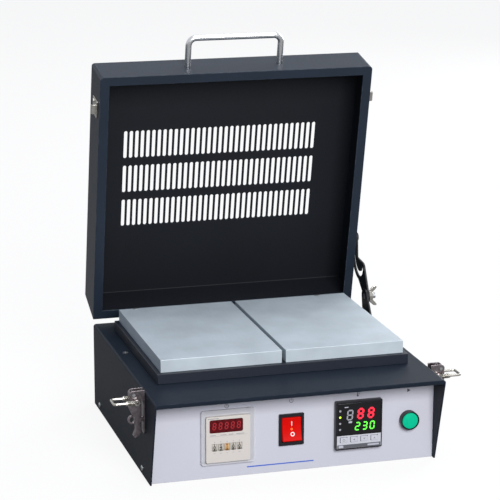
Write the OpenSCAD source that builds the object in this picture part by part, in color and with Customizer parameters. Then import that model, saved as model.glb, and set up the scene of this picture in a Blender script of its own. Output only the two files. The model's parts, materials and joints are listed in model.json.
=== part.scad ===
// Benchtop reflow oven: twin heating plates in a sheet-steel case, under a hinged slotted lid.
// The origin is the middle of the case's underside. +X is the operator's right, +Y the back.
// The lid is drawn closed and then swung open about its hinge pins.

/* [Case] */
// Width of the case
body_w = 292; // [286:1:340]
// Depth of the case, front lip to back panel
body_d = 285; // [278:1:330]
// Height of the deck above the bench
body_h = 89; // [84:1:110]
// Thickness of the folded steel sheet
sheet = 1.5; // [1:0.1:2]
// Outer radius of the folds between the deck and the side walls
fold_r = 3; // [2.2:0.1:5]
// How far the foot of each side wall stands behind the front lip
wall_setback = 24; // [10:1:27]
// How far the front panel stands behind the front lip
panel_setback = 29; // [27:1:36]
// Depth of the hem under the front lip
hem_h = 3; // [2:0.5:6]
// Height of the flanges that the side screws reach
flange_h = 12; // [11:0.5:16]

/* [Heating plates] */
// Distance from a side wall to the collar
deck_side = 17; // [16:0.5:26]
// Thickness of a plate
plate_t = 13; // [10:0.5:20]
// Gap between the two plates
plate_gap = 4; // [3:0.5:8]
// Distance from the front lip to the plates
plate_front = 65.3; // [64:0.1:70]
// Distance from the plates to the back panel
plate_back = 32.7; // [30:0.1:44]
// How far the collar stands out past the plates at the sides
collar_side = 4; // [3:0.5:6]
// How far the collar stands out past the plates at front and back
collar_end = 4; // [3:0.5:6]
// Height of the collar above the deck
collar_h = 10.3; // [9:0.1:14]
// Thickness of the collar's sheet
collar_t = 1.2; // [1:0.1:1.5]
// Width of the collar's ledge and foot
ledge = 10; // [8:0.5:12]
// Thickness of a heater element
element_t = 3; // [2:0.5:4]
// Thickness of a clamp plate
clamp_t = 2; // [1:0.5:3]
// Radius of a clamp stud
stud_r = 2.5; // [2:0.25:3]
// Depth of the insulation pad
pad_t = 19; // [14:1:22]

/* [Lid] */
// Height of the lid's walls
lid_h = 44.3; // [42:0.1:60]
// How far the closed lid stands behind the front lip
lid_inset = 8.8; // [4:0.2:12]
// Radius of the lid's front corners
lid_corner_r = 4; // [2.5:0.5:8]
// Width of the in-turned rim
rim_w = 9.8; // [6:0.2:11]
// How far the lid's back wall leans in over its height
back_lean = 7.5; // [2:0.5:12]
// Gap between the closed lid and the deck
lid_gap = 0.7; // [0.5:0.1:2]
// Angle that the lid opens to
open_angle = 77.8; // [70:0.1:80]
// Number of slots in a row
slot_cols = 35; // [20:1:38]
// Number of rows of slots
slot_rows = 3; // [1:1:4]
// Distance between slots
slot_pitch = 6.1; // [5.5:0.1:6.6]
// Width of a slot
slot_w = 3.6; // [2.5:0.1:4.5]
// Length of a slot
slot_l = 30.8; // [20:0.2:34]
// Distance between rows of slots
slot_row_pitch = 39.6; // [37:0.2:44]
// Distance from the lid's back edge to the middle of the first row
slot_first = 103.7; // [95:0.1:115]
// Sideways offset of the slots from the middle of the lid
slot_shift = -3.4; // [-8:0.1:8]

/* [Handle] */
// Radius of the handle's rod
rod_r = 3.2; // [2.5:0.1:4]
// Distance between the handle's legs
handle_span = 99; // [80:1:120]
// Reach of the handle in front of the lid
handle_reach = 34; // [28:1:45]
// Radius of the handle's bends, at the rod's middle
handle_bend = 8; // [6:0.5:12]
// Height of the handle above the lid's rim
handle_up = 21.8; // [16:0.2:26]

/* [Hinges] */
// Radius of a hinge pin
pin_r = 1.25; // [1:0.05:1.5]
// Outer radius of a hinge knuckle
knuckle_r = 2.6; // [2.3:0.1:2.7]
// Length of a hinge
hinge_l = 50; // [40:1:60]
// Distance from a side wall to the middle of a hinge
hinge_in = 61; // [40:1:80]
// Depth of a hinge leaf
leaf_h = 22; // [18:1:28]
// Thickness of a hinge leaf
leaf_t = 1.2; // [1:0.1:1.4]

/* [Lid stay] */
// Distance from the back panel to the stay's bolt
bolt_in = 40; // [36:1:44]
// Height of the stay's bolt above the deck
bolt_up = 20; // [18:0.5:24]
// Radius of the stay's bolt
bolt_r = 3; // [2.5:0.25:3.5]
// Thickness of the stay arm
arm_t = 2; // [1.5:0.25:3]
// Thickness of the stay's bracket
bracket_t = 2; // [1.5:0.25:3]
// Distance from the lid's back edge to the stay's rivet
rivet_v = 71; // [66:0.5:76]
// Height of the stay's rivet above the lid's rim
rivet_w = 14.4; // [10:0.2:18]
// Radius of the stay's rivet
rivet_r = 2.5; // [2:0.25:3]
// Turn of the arm while the lid closes
stay_turn = 128; // [124:1:132]
// Radius of the arm's ends
arm_r = 8; // [7:0.5:9]

/* [Side latches] */
// Distance from the front lip to the middle of a latch
latch_back = 47; // [42:1:60]
// Radius of the wire loop's rod
wire_r = 1.3; // [1:0.1:1.5]
// Length of the wire loop, pivot to cross bar
loop_l = 22.5; // [21:0.5:24]
// Distance from the middle of the loop to its rods
loop_half = 8; // [8:0.1:10]
// How far the lever's pivot lies below the deck
latch_down = 2; // [1:0.5:4]

/* [Front panel devices] */
// Height of the devices' middle line above the bench
device_z = 42; // [41:0.5:48]
// Distance from the left wall to the middle of the timer
timer_in = 77.4; // [72:0.1:84]
// Rocker switch position, from the middle of the panel
rocker_x = -3.4; // [-10:0.1:6]
// Distance from the right wall to the middle of the temperature controller
controller_in = 81.1; // [76:0.1:88]
// Distance from the right wall to the middle of the start button
button_in = 27.7; // [24:0.1:34]
// Width of the controller's bezel
controller_w = 48; // [46:0.5:50]
// Height of the controller's bezel
controller_h = 49.6; // [47:0.2:52]
// Width of the timer's face
timer_w = 44.2; // [43:0.1:48]
// Height of the timer's face
timer_h = 46.4; // [45:0.2:50]
// How far the timer's middle lies below that of the other devices
timer_drop = 1.2; // [0:0.1:2]
// How far the controller and timer stand out of the panel
bezel_out = 6; // [5:0.5:9]
// Radius of the start button's lens
lens_r = 7.9; // [6:0.1:8.5]
// Width of the ring round the start button's lens
ring_w = 1.6; // [1.5:0.1:3]
// How far the start button's ring stands out of the panel
button_out = 6.5; // [3:0.5:9]
// Travel of the start button
button_travel = 2.5; // [1:0.25:3]
// Tilt of the rocker when switched on
rocker_tilt = 9; // [6:0.5:10]

/* [Back] */
// Radius of the cable passage in the gland
gland_bore_r = 4.2; // [3:0.1:5]
// Distance from the left wall to the middle of the gland
gland_in = 36; // [24:1:50]
// Height of the gland above the bench
gland_z = 30; // [24:1:40]
// Number of cooling slots in the back panel
vent_count = 12; // [6:1:14]

/* [Hidden] */
$fn = 48;

eps = 0.01;              // overshoot of a cut past a face
air = 0.3;               // gap between pieces that move past each other
run = 0.05;              // radial running clearance of a pin
front_y = -body_d / 2;   // front lip
back_y = body_d / 2;     // back face
panel_y = front_y + panel_setback;
wall_x = body_w / 2;
inner_w = body_w - 2 * sheet;
fold_relief = fold_r - sheet + 0.2;

// heating stack, from the deck up
collar_w = body_w - 2 * deck_side;
plate_w = (collar_w - 2 * collar_side - plate_gap) / 2;
plate_d = body_d - plate_front - plate_back;
collar_y0 = front_y + plate_front - collar_end;
collar_y1 = collar_y0 + plate_d + 2 * collar_end;
plate_y0 = front_y + plate_front;
plate_y1 = plate_y0 + plate_d;
plate_z = body_h + collar_h;
well_w = collar_w - 2 * ledge;          // opening in the collar's ledge
well_y0 = collar_y0 + ledge;
well_y1 = collar_y1 - ledge;
deck_cut = 2;                           // the deck's opening is this much smaller all round
plate_x = (plate_gap + plate_w) / 2;    // middle of a plate
element_w = plate_w - 2 * ledge - 4;
element_y0 = well_y0 + 4;
element_y1 = well_y1 - 4;
tray_t = 1;
tray_top = body_h - sheet;
tray_w = well_w - 2 * deck_cut - 2 * air;
tray_y0 = well_y0 + deck_cut + air;
tray_y1 = well_y1 - deck_cut - air;
tray_bottom = tray_top - pad_t - tray_t;
tray_lip = 6;
stud_edge = 23.5;                       // from a plate's side to its studs
stud_end = 31.5;                        // from a plate's front or back to its studs
stud_x = plate_w / 2 - stud_edge;
stud_y = plate_d / 2 - stud_end;
nut_h = 4;
stud_below = 1;
plate_mid_y = (plate_y0 + plate_y1) / 2;
stud_in = plate_t / 2;                  // reach of a stud into its plate
probe_r = 2;
probe_in = 33.5;                        // from the left plate's middle to the probe
probe_x = -plate_x + probe_in;
deck_screw_y = plate_mid_y + 14.2;
deck_screw_x = (wall_x + collar_w / 2) / 2 - 1.5;
screw_z = 7;
screw_ys = [front_y + 57, back_y - 28]; // side screws
screw_r = 1.5;
head_r = 2.9;
head_h = 1.8;

// lid, drawn closed
lid_w = body_w - 2 * air;
axis_y = back_y + 3.5;                  // hinge pins
axis_z = body_h + 1.3;
lid_back = axis_y - knuckle_r - 0.4;    // lower back edge of the closed lid
lid_z = body_h + lid_gap;
lid_front = front_y + lid_inset;
lid_d = lid_back - lid_front;
lid_top = lid_z + lid_h;
handle_y = lid_front;
nut_flat_r = 5.5;
keeper_y = front_y + latch_back;

// stay, in the plane beside the right wall
bolt_y = back_y - bolt_in;
bolt_z = body_h + bolt_up;
arm_x0 = wall_x + bracket_t + air;
arm_x1 = arm_x0 + arm_t;
rivet_closed = [lid_back - rivet_v, lid_z + rivet_w];
bracket_rivets = [[bolt_y - 19, body_h - 24], [bolt_y - 6, body_h - 24]];
bracket_rivet_r = 1.8;
hinge_at = [axis_y, axis_z];
stay_steps = 24;

// gland in the back panel
gland_x = -wall_x + gland_in;
gland_thread_r = 8;

// latch, in the plane of its own middle, distances out from the wall
latch_plate_t = 1.5;
latch_plate_l = 40;                     // from the pivot down to the base plate's foot
pivot_out = 11;
pivot_z = body_h - latch_down;
trunnion_out = pivot_out - 2.5;
trunnion_z = pivot_z - 7;
lever_half = 3.6;
lever_t = 1;
ear_in = lever_half + air;
ear_t = 1;
lever_pin_r = 1.6;
loop_pin_r = 1.4;
barrel_r = 2.8;
eye_out = 12;
eye_z = pivot_z - 26;
eye_t = 2;
spring_len = 7;
hook_out = 3.8;                         // where the loop's cross bar lies when it is latched
hook_z = trunnion_z + sqrt(loop_l * loop_l - pow(trunnion_out - hook_out, 2)) - wire_r - 0.1;

// front panel devices
case_back = 58;                         // depth of the timer and controller behind the panel
timer_x = -wall_x + timer_in;
controller_x = wall_x - controller_in;
button_x = wall_x - button_in;
digit_pitch = 6.25;
digit_x0 = timer_x - 1.2 - 2 * digit_pitch;
timer_z = device_z - timer_drop;
digit_z = timer_z - 7.8;
digit_window = 3.7;                     // half height of a wheel's window
wheel_r = 6;
wheel_w = 4.6;
wheel_axle_r = 1.2;
wheel_y = panel_y - bezel_out + wheel_r - 0.5;
window_w = 33.4;
window_round = 1.8;
window_h = 13.4;
window_x = timer_x - 1.9;
window_z = timer_z + 13.6;
switch_w = 25.5;
switch_h = 32.4;
rocker_w = 19.4;
rocker_h = 24.8;
rocker_r = 20;                          // radius of the rocker's hollow face
key_count = 4;
key_pitch = 10.6;
key_w = 7;
key_h = 5;
key_travel = 0.6;
key_z = device_z - 13.6;
strip_z0 = device_z - 22.6;
strip_z1 = device_z - 9.2;
display_z0 = strip_z1 + 0.6;
barrel_out_r = lens_r + 1.1;
ring_r = lens_r + ring_w;

// ---------------------------------------------------------------- helpers

// box between two corners
module span(a, b) {
    translate(a) cube(b - a);
}

// cylinder along X from x0 to x1
module rod_x(x0, x1, r, y, z) {
    translate([x0, y, z]) rotate([0, 90, 0]) cylinder(r = r, h = x1 - x0);
}

// cylinder along Y from y0 to y1
module rod_y(y0, y1, r, x, z) {
    translate([x, y0, z]) rotate([-90, 0, 0]) cylinder(r = r, h = y1 - y0);
}

// flat plate drawn in X and Z, from y0 back to y1
module slab_y(y0, y1) {
    translate([0, y1, 0]) rotate([90, 0, 0]) linear_extrude(y1 - y0) children();
}

// flat plate drawn in Y and Z, from x0 to x1
module slab_x(x0, x1) {
    translate([x0, 0, 0]) rotate([90, 0, 90]) linear_extrude(x1 - x0) children();
}

// rectangle with rounded corners between two corners
module round_rect(a, b, r) {
    for (x = [a[0] + r, b[0] - r]) for (y = [a[1] + r, b[1] - r]) translate([x, y]) circle(r);
    translate([a[0] + r, a[1]]) square([b[0] - a[0] - 2 * r, b[1] - a[1]]);
    translate([a[0], a[1] + r]) square([b[0] - a[0], b[1] - a[1] - 2 * r]);
}

// slot with round ends, its length along Y of the drawing
module slot2(w, l) {
    translate([-w / 2, -(l - w) / 2]) square([w, l - w]);
    for (s = [-1, 1]) translate([0, s * (l - w) / 2]) circle(w / 2, $fn = 24);
}

// points of an arc about c
function arc(c, r, a0, a1, n = 10) =
    [for (i = [0:n]) c + r * [cos(a0 + (a1 - a0) * i / n), sin(a0 + (a1 - a0) * i / n)]];

// a point of the plane turned by an angle
function turned(p, a) = [p[0] * cos(a) - p[1] * sin(a), p[0] * sin(a) + p[1] * cos(a)];

// swings what is drawn closed to the open lid
module swung() {
    translate([0, axis_y, axis_z]) rotate([-open_angle, 0, 0]) translate([0, -axis_y, -axis_z])
        children();
}

// flush screw with its top at the origin, its shank along -Z
flush_up = 0.3;
module flush_screw(len) difference() {
    union() {
        cylinder(r = head_r, h = flush_up);
        translate([0, 0, -sheet]) cylinder(r1 = screw_r, r2 = head_r, h = sheet);
        translate([0, 0, -len]) cylinder(r = screw_r, h = len);
    }
    for (a = [0, 90]) rotate(a) translate([-1.7, -0.3, -0.5]) cube([3.4, 0.6, 2]);
}

// screw with a domed head at the origin, its shank along -Z
module screw(len) {
    difference() {
        union() {
            intersection() {
                translate([0, 0, head_h - 4]) sphere(4.05);
                cylinder(r = head_r, h = head_h);
            }
            translate([0, 0, -len]) cylinder(r = screw_r, h = len + eps);
        }
        for (a = [0, 90]) rotate(a) translate([-1.7, -0.3, 1]) cube([3.4, 0.6, 2]);
    }
}

// ---------------------------------------------------------------- case

// floor with flanges at its sides
module chassis() color("#c6c6d2") difference() {
    union() {
        span([-inner_w / 2, panel_y + sheet, 0], [inner_w / 2, back_y - sheet, sheet]);
        for (s = [-1, 1]) translate([s * (inner_w / 2 - sheet / 2), 0, 0])
            span([-sheet / 2, panel_y + sheet, 0], [sheet / 2, back_y - sheet, flange_h]);
    }
    for (s = [-1, 1]) for (y = screw_ys)
        rod_x(s * inner_w / 2 - 3, s * inner_w / 2 + 3, screw_r, y, screw_z);
    translate([0, 0, -1]) linear_extrude(sheet + 2) for (r = [-1, 1]) for (i = [-4:4])
        translate([12 * i, r * 40 + 15]) slot2(3.5, 30);
}

// upright panel from y back to y + sheet, its corners cut off to clear the folds of the cover
module upright(y) difference() {
    span([-inner_w / 2, y, 0], [inner_w / 2, y + sheet, tray_top]);
    for (s = [-1, 1]) translate([s * inner_w / 2, 0, tray_top])
        span([-fold_relief, y - 1, -fold_relief], [fold_relief, y + sheet + 1, fold_relief]);
}

module front_panel() color("#c6c6d2") difference() {
    upright(panel_y);
    panel_cut(timer_x, timer_z, timer_w - 1.4, timer_h - 3);
    panel_cut(rocker_x, device_z + 1, switch_w - 3.4, switch_h - 4);
    panel_cut(controller_x, device_z + 0.8, controller_w - 3.4, controller_h - 5);
    rod_y(panel_y - 1, panel_y + sheet + 1, barrel_out_r + 0.1, button_x, device_z);
}

module back_panel() color("#c6c6d2") difference() {
    upright(back_y - sheet);
    rod_y(back_y - sheet - 1, back_y + 1, gland_thread_r + 0.1, gland_x, gland_z);
    slab_y(back_y - sheet - 1, back_y + 1) for (i = [0:vent_count - 1])
        translate([20 + 8 * (i - (vent_count - 1) / 2), body_h / 2]) slot2(3.5, 26);
}

// opening for a device in the front panel
module panel_cut(x, z, w, h) {
    span([x - w / 2, panel_y - 1, z - h / 2], [x + w / 2, panel_y + sheet + 1, z + h / 2]);
}

module outer_cover() color("#3a424c") difference() {
    union() {
        slab_y(front_y, back_y) cover_profile();
        span([-inner_w / 2, front_y, tray_top - hem_h], [inner_w / 2, front_y + sheet, tray_top + eps]);
    }
    // the side walls' front edges run back towards the bench
    slab_x(-wall_x - 1, wall_x + 1)
        polygon([[front_y, body_h - hem_h], [front_y + wall_setback, -eps],
            [front_y + wall_setback, -1], [front_y - 1, -1], [front_y - 1, body_h - hem_h]]);
    span([-well_w / 2 + deck_cut, well_y0 + deck_cut, tray_top - 1],
        [well_w / 2 - deck_cut, well_y1 - deck_cut, body_h + 1]);
    for (s = [-1, 1]) {
        for (y = screw_ys) rod_x(s * wall_x - 3, s * wall_x + 3, screw_r, y, screw_z);
        translate([s * deck_screw_x, deck_screw_y, tray_top]) {
            cylinder(r1 = screw_r, r2 = head_r, h = sheet);
            translate([0, 0, -1]) cylinder(r = screw_r, h = 2);
            translate([0, 0, sheet]) cylinder(r = head_r, h = 1);
        }
    }
    for (p = bracket_rivets) rod_x(wall_x - 3, wall_x + 3, bracket_rivet_r, p[0], p[1]);
}

// cross section of the cover: deck and side walls with rounded folds
module cover_profile() difference() {
    round_rect([-body_w / 2, -2 * fold_r], [body_w / 2, body_h], fold_r);
    round_rect([-inner_w / 2, -2 * fold_r], [inner_w / 2, tray_top], fold_r - sheet);
    translate([-body_w, -3 * fold_r]) square([2 * body_w, 3 * fold_r]);
}

module heater_collar() color("#272b33") difference() {
    span([-collar_w / 2, collar_y0, body_h], [collar_w / 2, collar_y1, plate_z]);
    span([-collar_w / 2 + collar_t, collar_y0 + collar_t, body_h + collar_t],
        [collar_w / 2 - collar_t, collar_y1 - collar_t, plate_z - collar_t]);
    span([-well_w / 2, well_y0, body_h - 1], [well_w / 2, well_y1, plate_z + 1]);
}

// one aluminium plate with blind holes for its studs
module heating_plate(s) color("#b4c0c6") difference() {
    translate([s * plate_x, 0, 0])
        span([-plate_w / 2, plate_y0, plate_z], [plate_w / 2, plate_y1, plate_z + plate_t]);
    translate([s * plate_x, plate_mid_y, 0]) for (x = [-stud_x, stud_x]) for (y = [-stud_y, stud_y])
        translate([x, y, plate_z - 1]) cylinder(r = stud_r, h = stud_in + 1);
    if (s < 0) translate([probe_x, plate_mid_y, plate_z - 1]) cylinder(r = probe_r, h = stud_in + 1);
    // notch that a clip's tongue lies flush in
    for (x = clip_xs) translate([x, plate_y1, plate_z + plate_t]) span([-clip_w / 2 - clip_air,
        -clip_grip - clip_air, -clip_t], [clip_w / 2 + clip_air, 1, 1]);
}

// flat piece under both plates, with holes for the studs and the probe
module under_plate(z0, z1) difference() {
    for (s = [-1, 1]) translate([s * plate_x, 0, 0])
        span([-element_w / 2, element_y0, z0], [element_w / 2, element_y1, z1]);
    for (s = [-1, 1]) translate([s * plate_x, plate_mid_y, 0])
        for (x = [-stud_x, stud_x]) for (y = [-stud_y, stud_y])
            translate([x, y, z0 - 1]) cylinder(r = stud_r, h = z1 - z0 + 2);
    translate([probe_x, plate_mid_y, z0 - 1]) cylinder(r = probe_r, h = z1 - z0 + 2);
}

module heater_elements() color("#b89a5a") under_plate(plate_z - element_t, plate_z);

module clamp_plates() color("#8f9499")
    under_plate(plate_z - element_t - clamp_t, plate_z - element_t);

module clamp_studs() color("#9a9da2") for (s = [-1, 1]) translate([s * plate_x, plate_mid_y, 0])
    for (x = [-stud_x, stud_x]) for (y = [-stud_y, stud_y]) translate([x, y, 0]) {
        nut_z = plate_z - element_t - clamp_t - nut_h;
        translate([0, 0, nut_z - stud_below])
            cylinder(r = stud_r, h = plate_z + stud_in - nut_z + stud_below);
        translate([0, 0, nut_z]) cylinder(r = stud_r + 2, h = nut_h, $fn = 6);
    }

module heater_tray() color("#a9adb2") {
    difference() {
        union() {
            span([-tray_w / 2, tray_y0, tray_bottom], [tray_w / 2, tray_y1, tray_top]);
            span([-tray_w / 2 - tray_lip, tray_y0 - tray_lip, tray_top - tray_t],
                [tray_w / 2 + tray_lip, tray_y1 + tray_lip, tray_top]);
            span([-deck_screw_x - 5, deck_screw_y - 8, tray_top - tray_t],
                [deck_screw_x + 5, deck_screw_y + 8, tray_top]);
        }
        span([-tray_w / 2 + tray_t, tray_y0 + tray_t, tray_bottom + tray_t],
            [tray_w / 2 - tray_t, tray_y1 - tray_t, tray_top + 1]);
        for (s = [-1, 1]) translate([s * deck_screw_x, deck_screw_y, tray_top - tray_t - 1])
            cylinder(r = screw_r, h = tray_t + 2);
    }
}

module insulation_pad() color("#e6e2d6") span([-tray_w / 2 + tray_t, tray_y0 + tray_t, tray_bottom + tray_t],
    [tray_w / 2 - tray_t, tray_y1 - tray_t, tray_top]);

// small clips that hold the plates' back edges down to the collar's ledge
clip_w = 5;
clip_t = 1.4;
clip_grip = 3;
clip_air = 0.2;
clip_xs = [-plate_x - 43.5, plate_x + 30.5];
module plate_clips() color("#b9bdc2") for (x = clip_xs) translate([x, 0, 0]) {
    span([-clip_w / 2, plate_y1, plate_z], [clip_w / 2, plate_y1 + clip_t, plate_z + plate_t]);
    span([-clip_w / 2, plate_y1 - clip_grip, plate_z + plate_t - clip_t],
        [clip_w / 2, plate_y1, plate_z + plate_t]);
    span([-clip_w / 2, plate_y1, plate_z], [clip_w / 2, plate_y1 + collar_end - 0.4, plate_z + clip_t]);
}

module thermocouple() color("#8d9196") translate([probe_x, plate_mid_y, 0]) {
    hex_z = plate_z - element_t - clamp_t - nut_h;
    translate([0, 0, hex_z - 1]) cylinder(r = probe_r, h = plate_z + stud_in - hex_z + 1);
    translate([0, 0, hex_z]) cylinder(r = probe_r + 2, h = nut_h, $fn = 6);
}

module case_screws() color("#8b9096") {
    for (s = [-1, 1]) {
        for (y = screw_ys) translate([s * wall_x, y, screw_z])
            rotate([0, s * 90, 0]) screw(2 * sheet);
        translate([s * deck_screw_x, deck_screw_y, body_h]) flush_screw(sheet + tray_t);
    }
}

// ---------------------------------------------------------------- timer

timer_face_y = panel_y - bezel_out;
wheel_gap_w = wheel_w + 2 * air;
module timer_case() color("#d9d6ca") difference() {
    union() {
        slab_y(timer_face_y, panel_y)
            round_rect([timer_x - timer_w / 2, timer_z - timer_h / 2],
                [timer_x + timer_w / 2, timer_z + timer_h / 2], 1.5);
        span([timer_x - timer_w / 2 + 0.8, panel_y - eps, timer_z - timer_h / 2 + 1.6],
            [timer_x + timer_w / 2 - 0.8, panel_y + case_back, timer_z + timer_h / 2 - 1.6]);
    }
    // recess for the display window
    slab_y(timer_face_y - 1, timer_face_y + 2)
        round_rect([window_x - window_w / 2, window_z - window_h / 2],
            [window_x + window_w / 2, window_z + window_h / 2], window_round);
    for (i = [0:4]) {
        x = digit_x0 + i * digit_pitch;
        // bay that a wheel turns in, open to the front through its window
        rod_x(x - wheel_gap_w / 2, x + wheel_gap_w / 2, wheel_r + air, wheel_y, digit_z);
        span([x - wheel_gap_w / 2, timer_face_y - 1, digit_z - digit_window],
            [x + wheel_gap_w / 2, wheel_y, digit_z + digit_window]);
    }
    rod_x(digit_x0 - 4.5, digit_x0 + 4 * digit_pitch + 4.5, wheel_axle_r, wheel_y, digit_z);
}

// number wheel with stub axles
module timer_wheel(i) color("#e4e1d6") translate([digit_x0 + (i - 1) * digit_pitch, wheel_y, digit_z])
    difference() {
        union() {
            rod_x(-wheel_w / 2, wheel_w / 2, wheel_r - 0.5, 0, 0);
            rod_x(-wheel_w / 2, -wheel_w / 2 + 1, wheel_r, 0, 0);
            rod_x(-wheel_w / 2 - air - 0.35, wheel_w / 2 + air + 0.35, wheel_axle_r - run, 0, 0);
        }
        // thumb notches between the numbers on the raised edge
        for (a = [0:36:359]) rotate([a + 18, 0, 0])
            rod_x(-wheel_w / 2 - eps, -wheel_w / 2 + 1 + eps, 0.45, 0, wheel_r);
    }

module timer_window() color("#7a1015", 0.8) slab_y(timer_face_y + 0.6, timer_face_y + 2)
    round_rect([window_x - window_w / 2, window_z - window_h / 2],
        [window_x + window_w / 2, window_z + window_h / 2], window_round);

guard_side = 5;
guard_end = 4.6;
guard_out = 3.2;
module timer_guard() color("#dfe2ea", 0.6) difference() {
    slab_y(panel_y - guard_out, panel_y)
        round_rect([timer_x + 0.8 - timer_w / 2 - guard_side, device_z - timer_h / 2 - guard_end],
            [timer_x + 0.8 + timer_w / 2 + guard_side, device_z + timer_h / 2 + guard_end], 3);
    slab_y(panel_y - guard_out - 1, panel_y + 1)
        round_rect([timer_x - timer_w / 2, timer_z - timer_h / 2],
            [timer_x + timer_w / 2, timer_z + timer_h / 2], 1.5);
}

// ---------------------------------------------------------------- rocker switch

switch_out = 2;
switch_z = device_z + 1;
pivot_in = 2.5;          // rocker pivot, behind the bezel's face
rocker_pivot_y = panel_y - switch_out + pivot_in;
module rocker_housing() color("#23232a") difference() {
    union() {
        slab_y(panel_y - switch_out, panel_y)
            round_rect([rocker_x - switch_w / 2, switch_z - switch_h / 2],
                [rocker_x + switch_w / 2, switch_z + switch_h / 2], 1);
        span([rocker_x - switch_w / 2 + 1.7, panel_y - eps, switch_z - switch_h / 2 + 2],
            [rocker_x + switch_w / 2 - 1.7, panel_y + 24, switch_z + switch_h / 2 - 2]);
        for (z = [-8, 0, 8]) span([rocker_x - 3, panel_y + 24 - eps, switch_z + z - 0.4],
            [rocker_x + 3, panel_y + 32, switch_z + z + 0.4]);
    }
    span([rocker_x - rocker_w / 2 - air, panel_y - switch_out - 1, switch_z - rocker_h / 2 - 0.5],
        [rocker_x + rocker_w / 2 + air, panel_y + 9, switch_z + rocker_h / 2 + 0.5]);
    rod_x(rocker_x - rocker_w / 2 - 1, rocker_x + rocker_w / 2 + 1, 1.2, rocker_pivot_y, switch_z);
}

// rocker with a hollow face, pressed in at its top
module rocker() color("#d81512") translate([rocker_x, rocker_pivot_y, switch_z])
    rotate([-rocker_tilt, 0, 0]) {
        difference() {
            slab_x(-rocker_w / 2, rocker_w / 2)
                polygon([[-5, -rocker_h / 2 + 0.8], [-5, rocker_h / 2 - 0.8], [-1, rocker_h / 2 - 0.4],
                    [4, 6], [4, -6], [-1, -rocker_h / 2 + 0.4]]);
            rod_x(-rocker_w, rocker_w, rocker_r * 2, -3 - rocker_r * 2, 0, $fn = 160);
        }
        rod_x(-rocker_w / 2 - 0.8, rocker_w / 2 + 0.8, 1.15, 0, 0);
    }

// ---------------------------------------------------------------- controller

controller_z = device_z + 0.8;
face_y = panel_y - bezel_out;
module controller_case() color("#1b1c22") difference() {
    union() {
        slab_y(face_y, panel_y)
            round_rect([controller_x - controller_w / 2, controller_z - controller_h / 2],
                [controller_x + controller_w / 2, controller_z + controller_h / 2], 1.2);
        span([controller_x - controller_w / 2 + 1.8, panel_y - eps, controller_z - controller_h / 2 + 2.6],
            [controller_x + controller_w / 2 - 1.8, panel_y + case_back,
                controller_z + controller_h / 2 - 2.6]);
    }
    span([controller_x - controller_w / 2 + 2, face_y - 1, display_z0],
        [controller_x + controller_w / 2 - 1.4, face_y + 1.5, controller_z + controller_h / 2 - 2]);
    span([controller_x - controller_w / 2 + 1.2, face_y - 1, strip_z0],
        [controller_x + controller_w / 2 - 1.2, face_y + 1, strip_z1]);
    for (i = [0:key_count - 1]) translate([key_x(i), 0, 0])
        span([-key_w / 2 - air, face_y, key_z - key_h / 2 - air],
            [key_w / 2 + air, face_y + 4.5, key_z + key_h / 2 + air]);
}

function key_x(i) = controller_x + (i - (key_count - 1) / 2) * key_pitch;

module controller_lens() color("#0f1014", 0.9)
    span([controller_x - controller_w / 2 + 2, face_y + 0.4, display_z0],
        [controller_x + controller_w / 2 - 1.4, face_y + 1.5, controller_z + controller_h / 2 - 2]);

module key_strip() color("#b9bcc2") difference() {
    span([controller_x - controller_w / 2 + 1.2, face_y + 0.2, strip_z0],
        [controller_x + controller_w / 2 - 1.2, face_y + 1, strip_z1]);
    for (i = [0:key_count - 1]) translate([key_x(i), 0, 0])
        span([-key_w / 2 - air, face_y - 1, key_z - key_h / 2 - air],
            [key_w / 2 + air, face_y + 2, key_z + key_h / 2 + air]);
}

module controller_key(i) color("#c8cbd0") translate([key_x(i - 1), 0, key_z])
    slab_y(face_y - 0.7, face_y + 3.4)
        round_rect([-key_w / 2, -key_h / 2], [key_w / 2, key_h / 2], 0.8);

// ---------------------------------------------------------------- start button

plunger_r = 3.1;
module button_bezel() color("#15181b") difference() {
    union() {
        rod_y(panel_y - button_out, panel_y, ring_r, button_x, device_z);
        rod_y(panel_y - eps, panel_y + 26, barrel_out_r, button_x, device_z);
    }
    rod_y(panel_y - button_out - 1, panel_y + 14, lens_r + air, button_x, device_z);
    rod_y(panel_y - button_out - 1, panel_y - button_out + 1, ring_r - 0.9, button_x, device_z);
    rod_y(panel_y + 13, panel_y + 27, plunger_r + run, button_x, device_z);
}

module button_nut() color("#26282c") difference() {
    rod_y(panel_y + sheet, panel_y + sheet + 5, barrel_out_r + 3, button_x, device_z, $fn = 6);
    rod_y(panel_y + sheet - 1, panel_y + sheet + 6, barrel_out_r, button_x, device_z);
}

module start_button() color("#10c592") {
    rod_y(panel_y - button_out + 0.2, panel_y + 11, lens_r, button_x, device_z);
    rod_y(panel_y + 11 - eps, panel_y + 26, plunger_r, button_x, device_z);
}

module contact_block() color("#2b2f36") difference() {
    span([button_x - 9, panel_y + 26, device_z - 9], [button_x + 9, panel_y + 48, device_z + 9]);
    rod_y(panel_y + 25, panel_y + 31, plunger_r + air, button_x, device_z);
}

// ---------------------------------------------------------------- side latches
// Drawn for the right side with the wall at x = 0 and +X outwards; `handed` puts them in place.

module handed(s) {
    if (s > 0) translate([wall_x, keeper_y, 0]) children();
    else translate([-wall_x, keeper_y, 0]) rotate(180) children();
}

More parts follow.
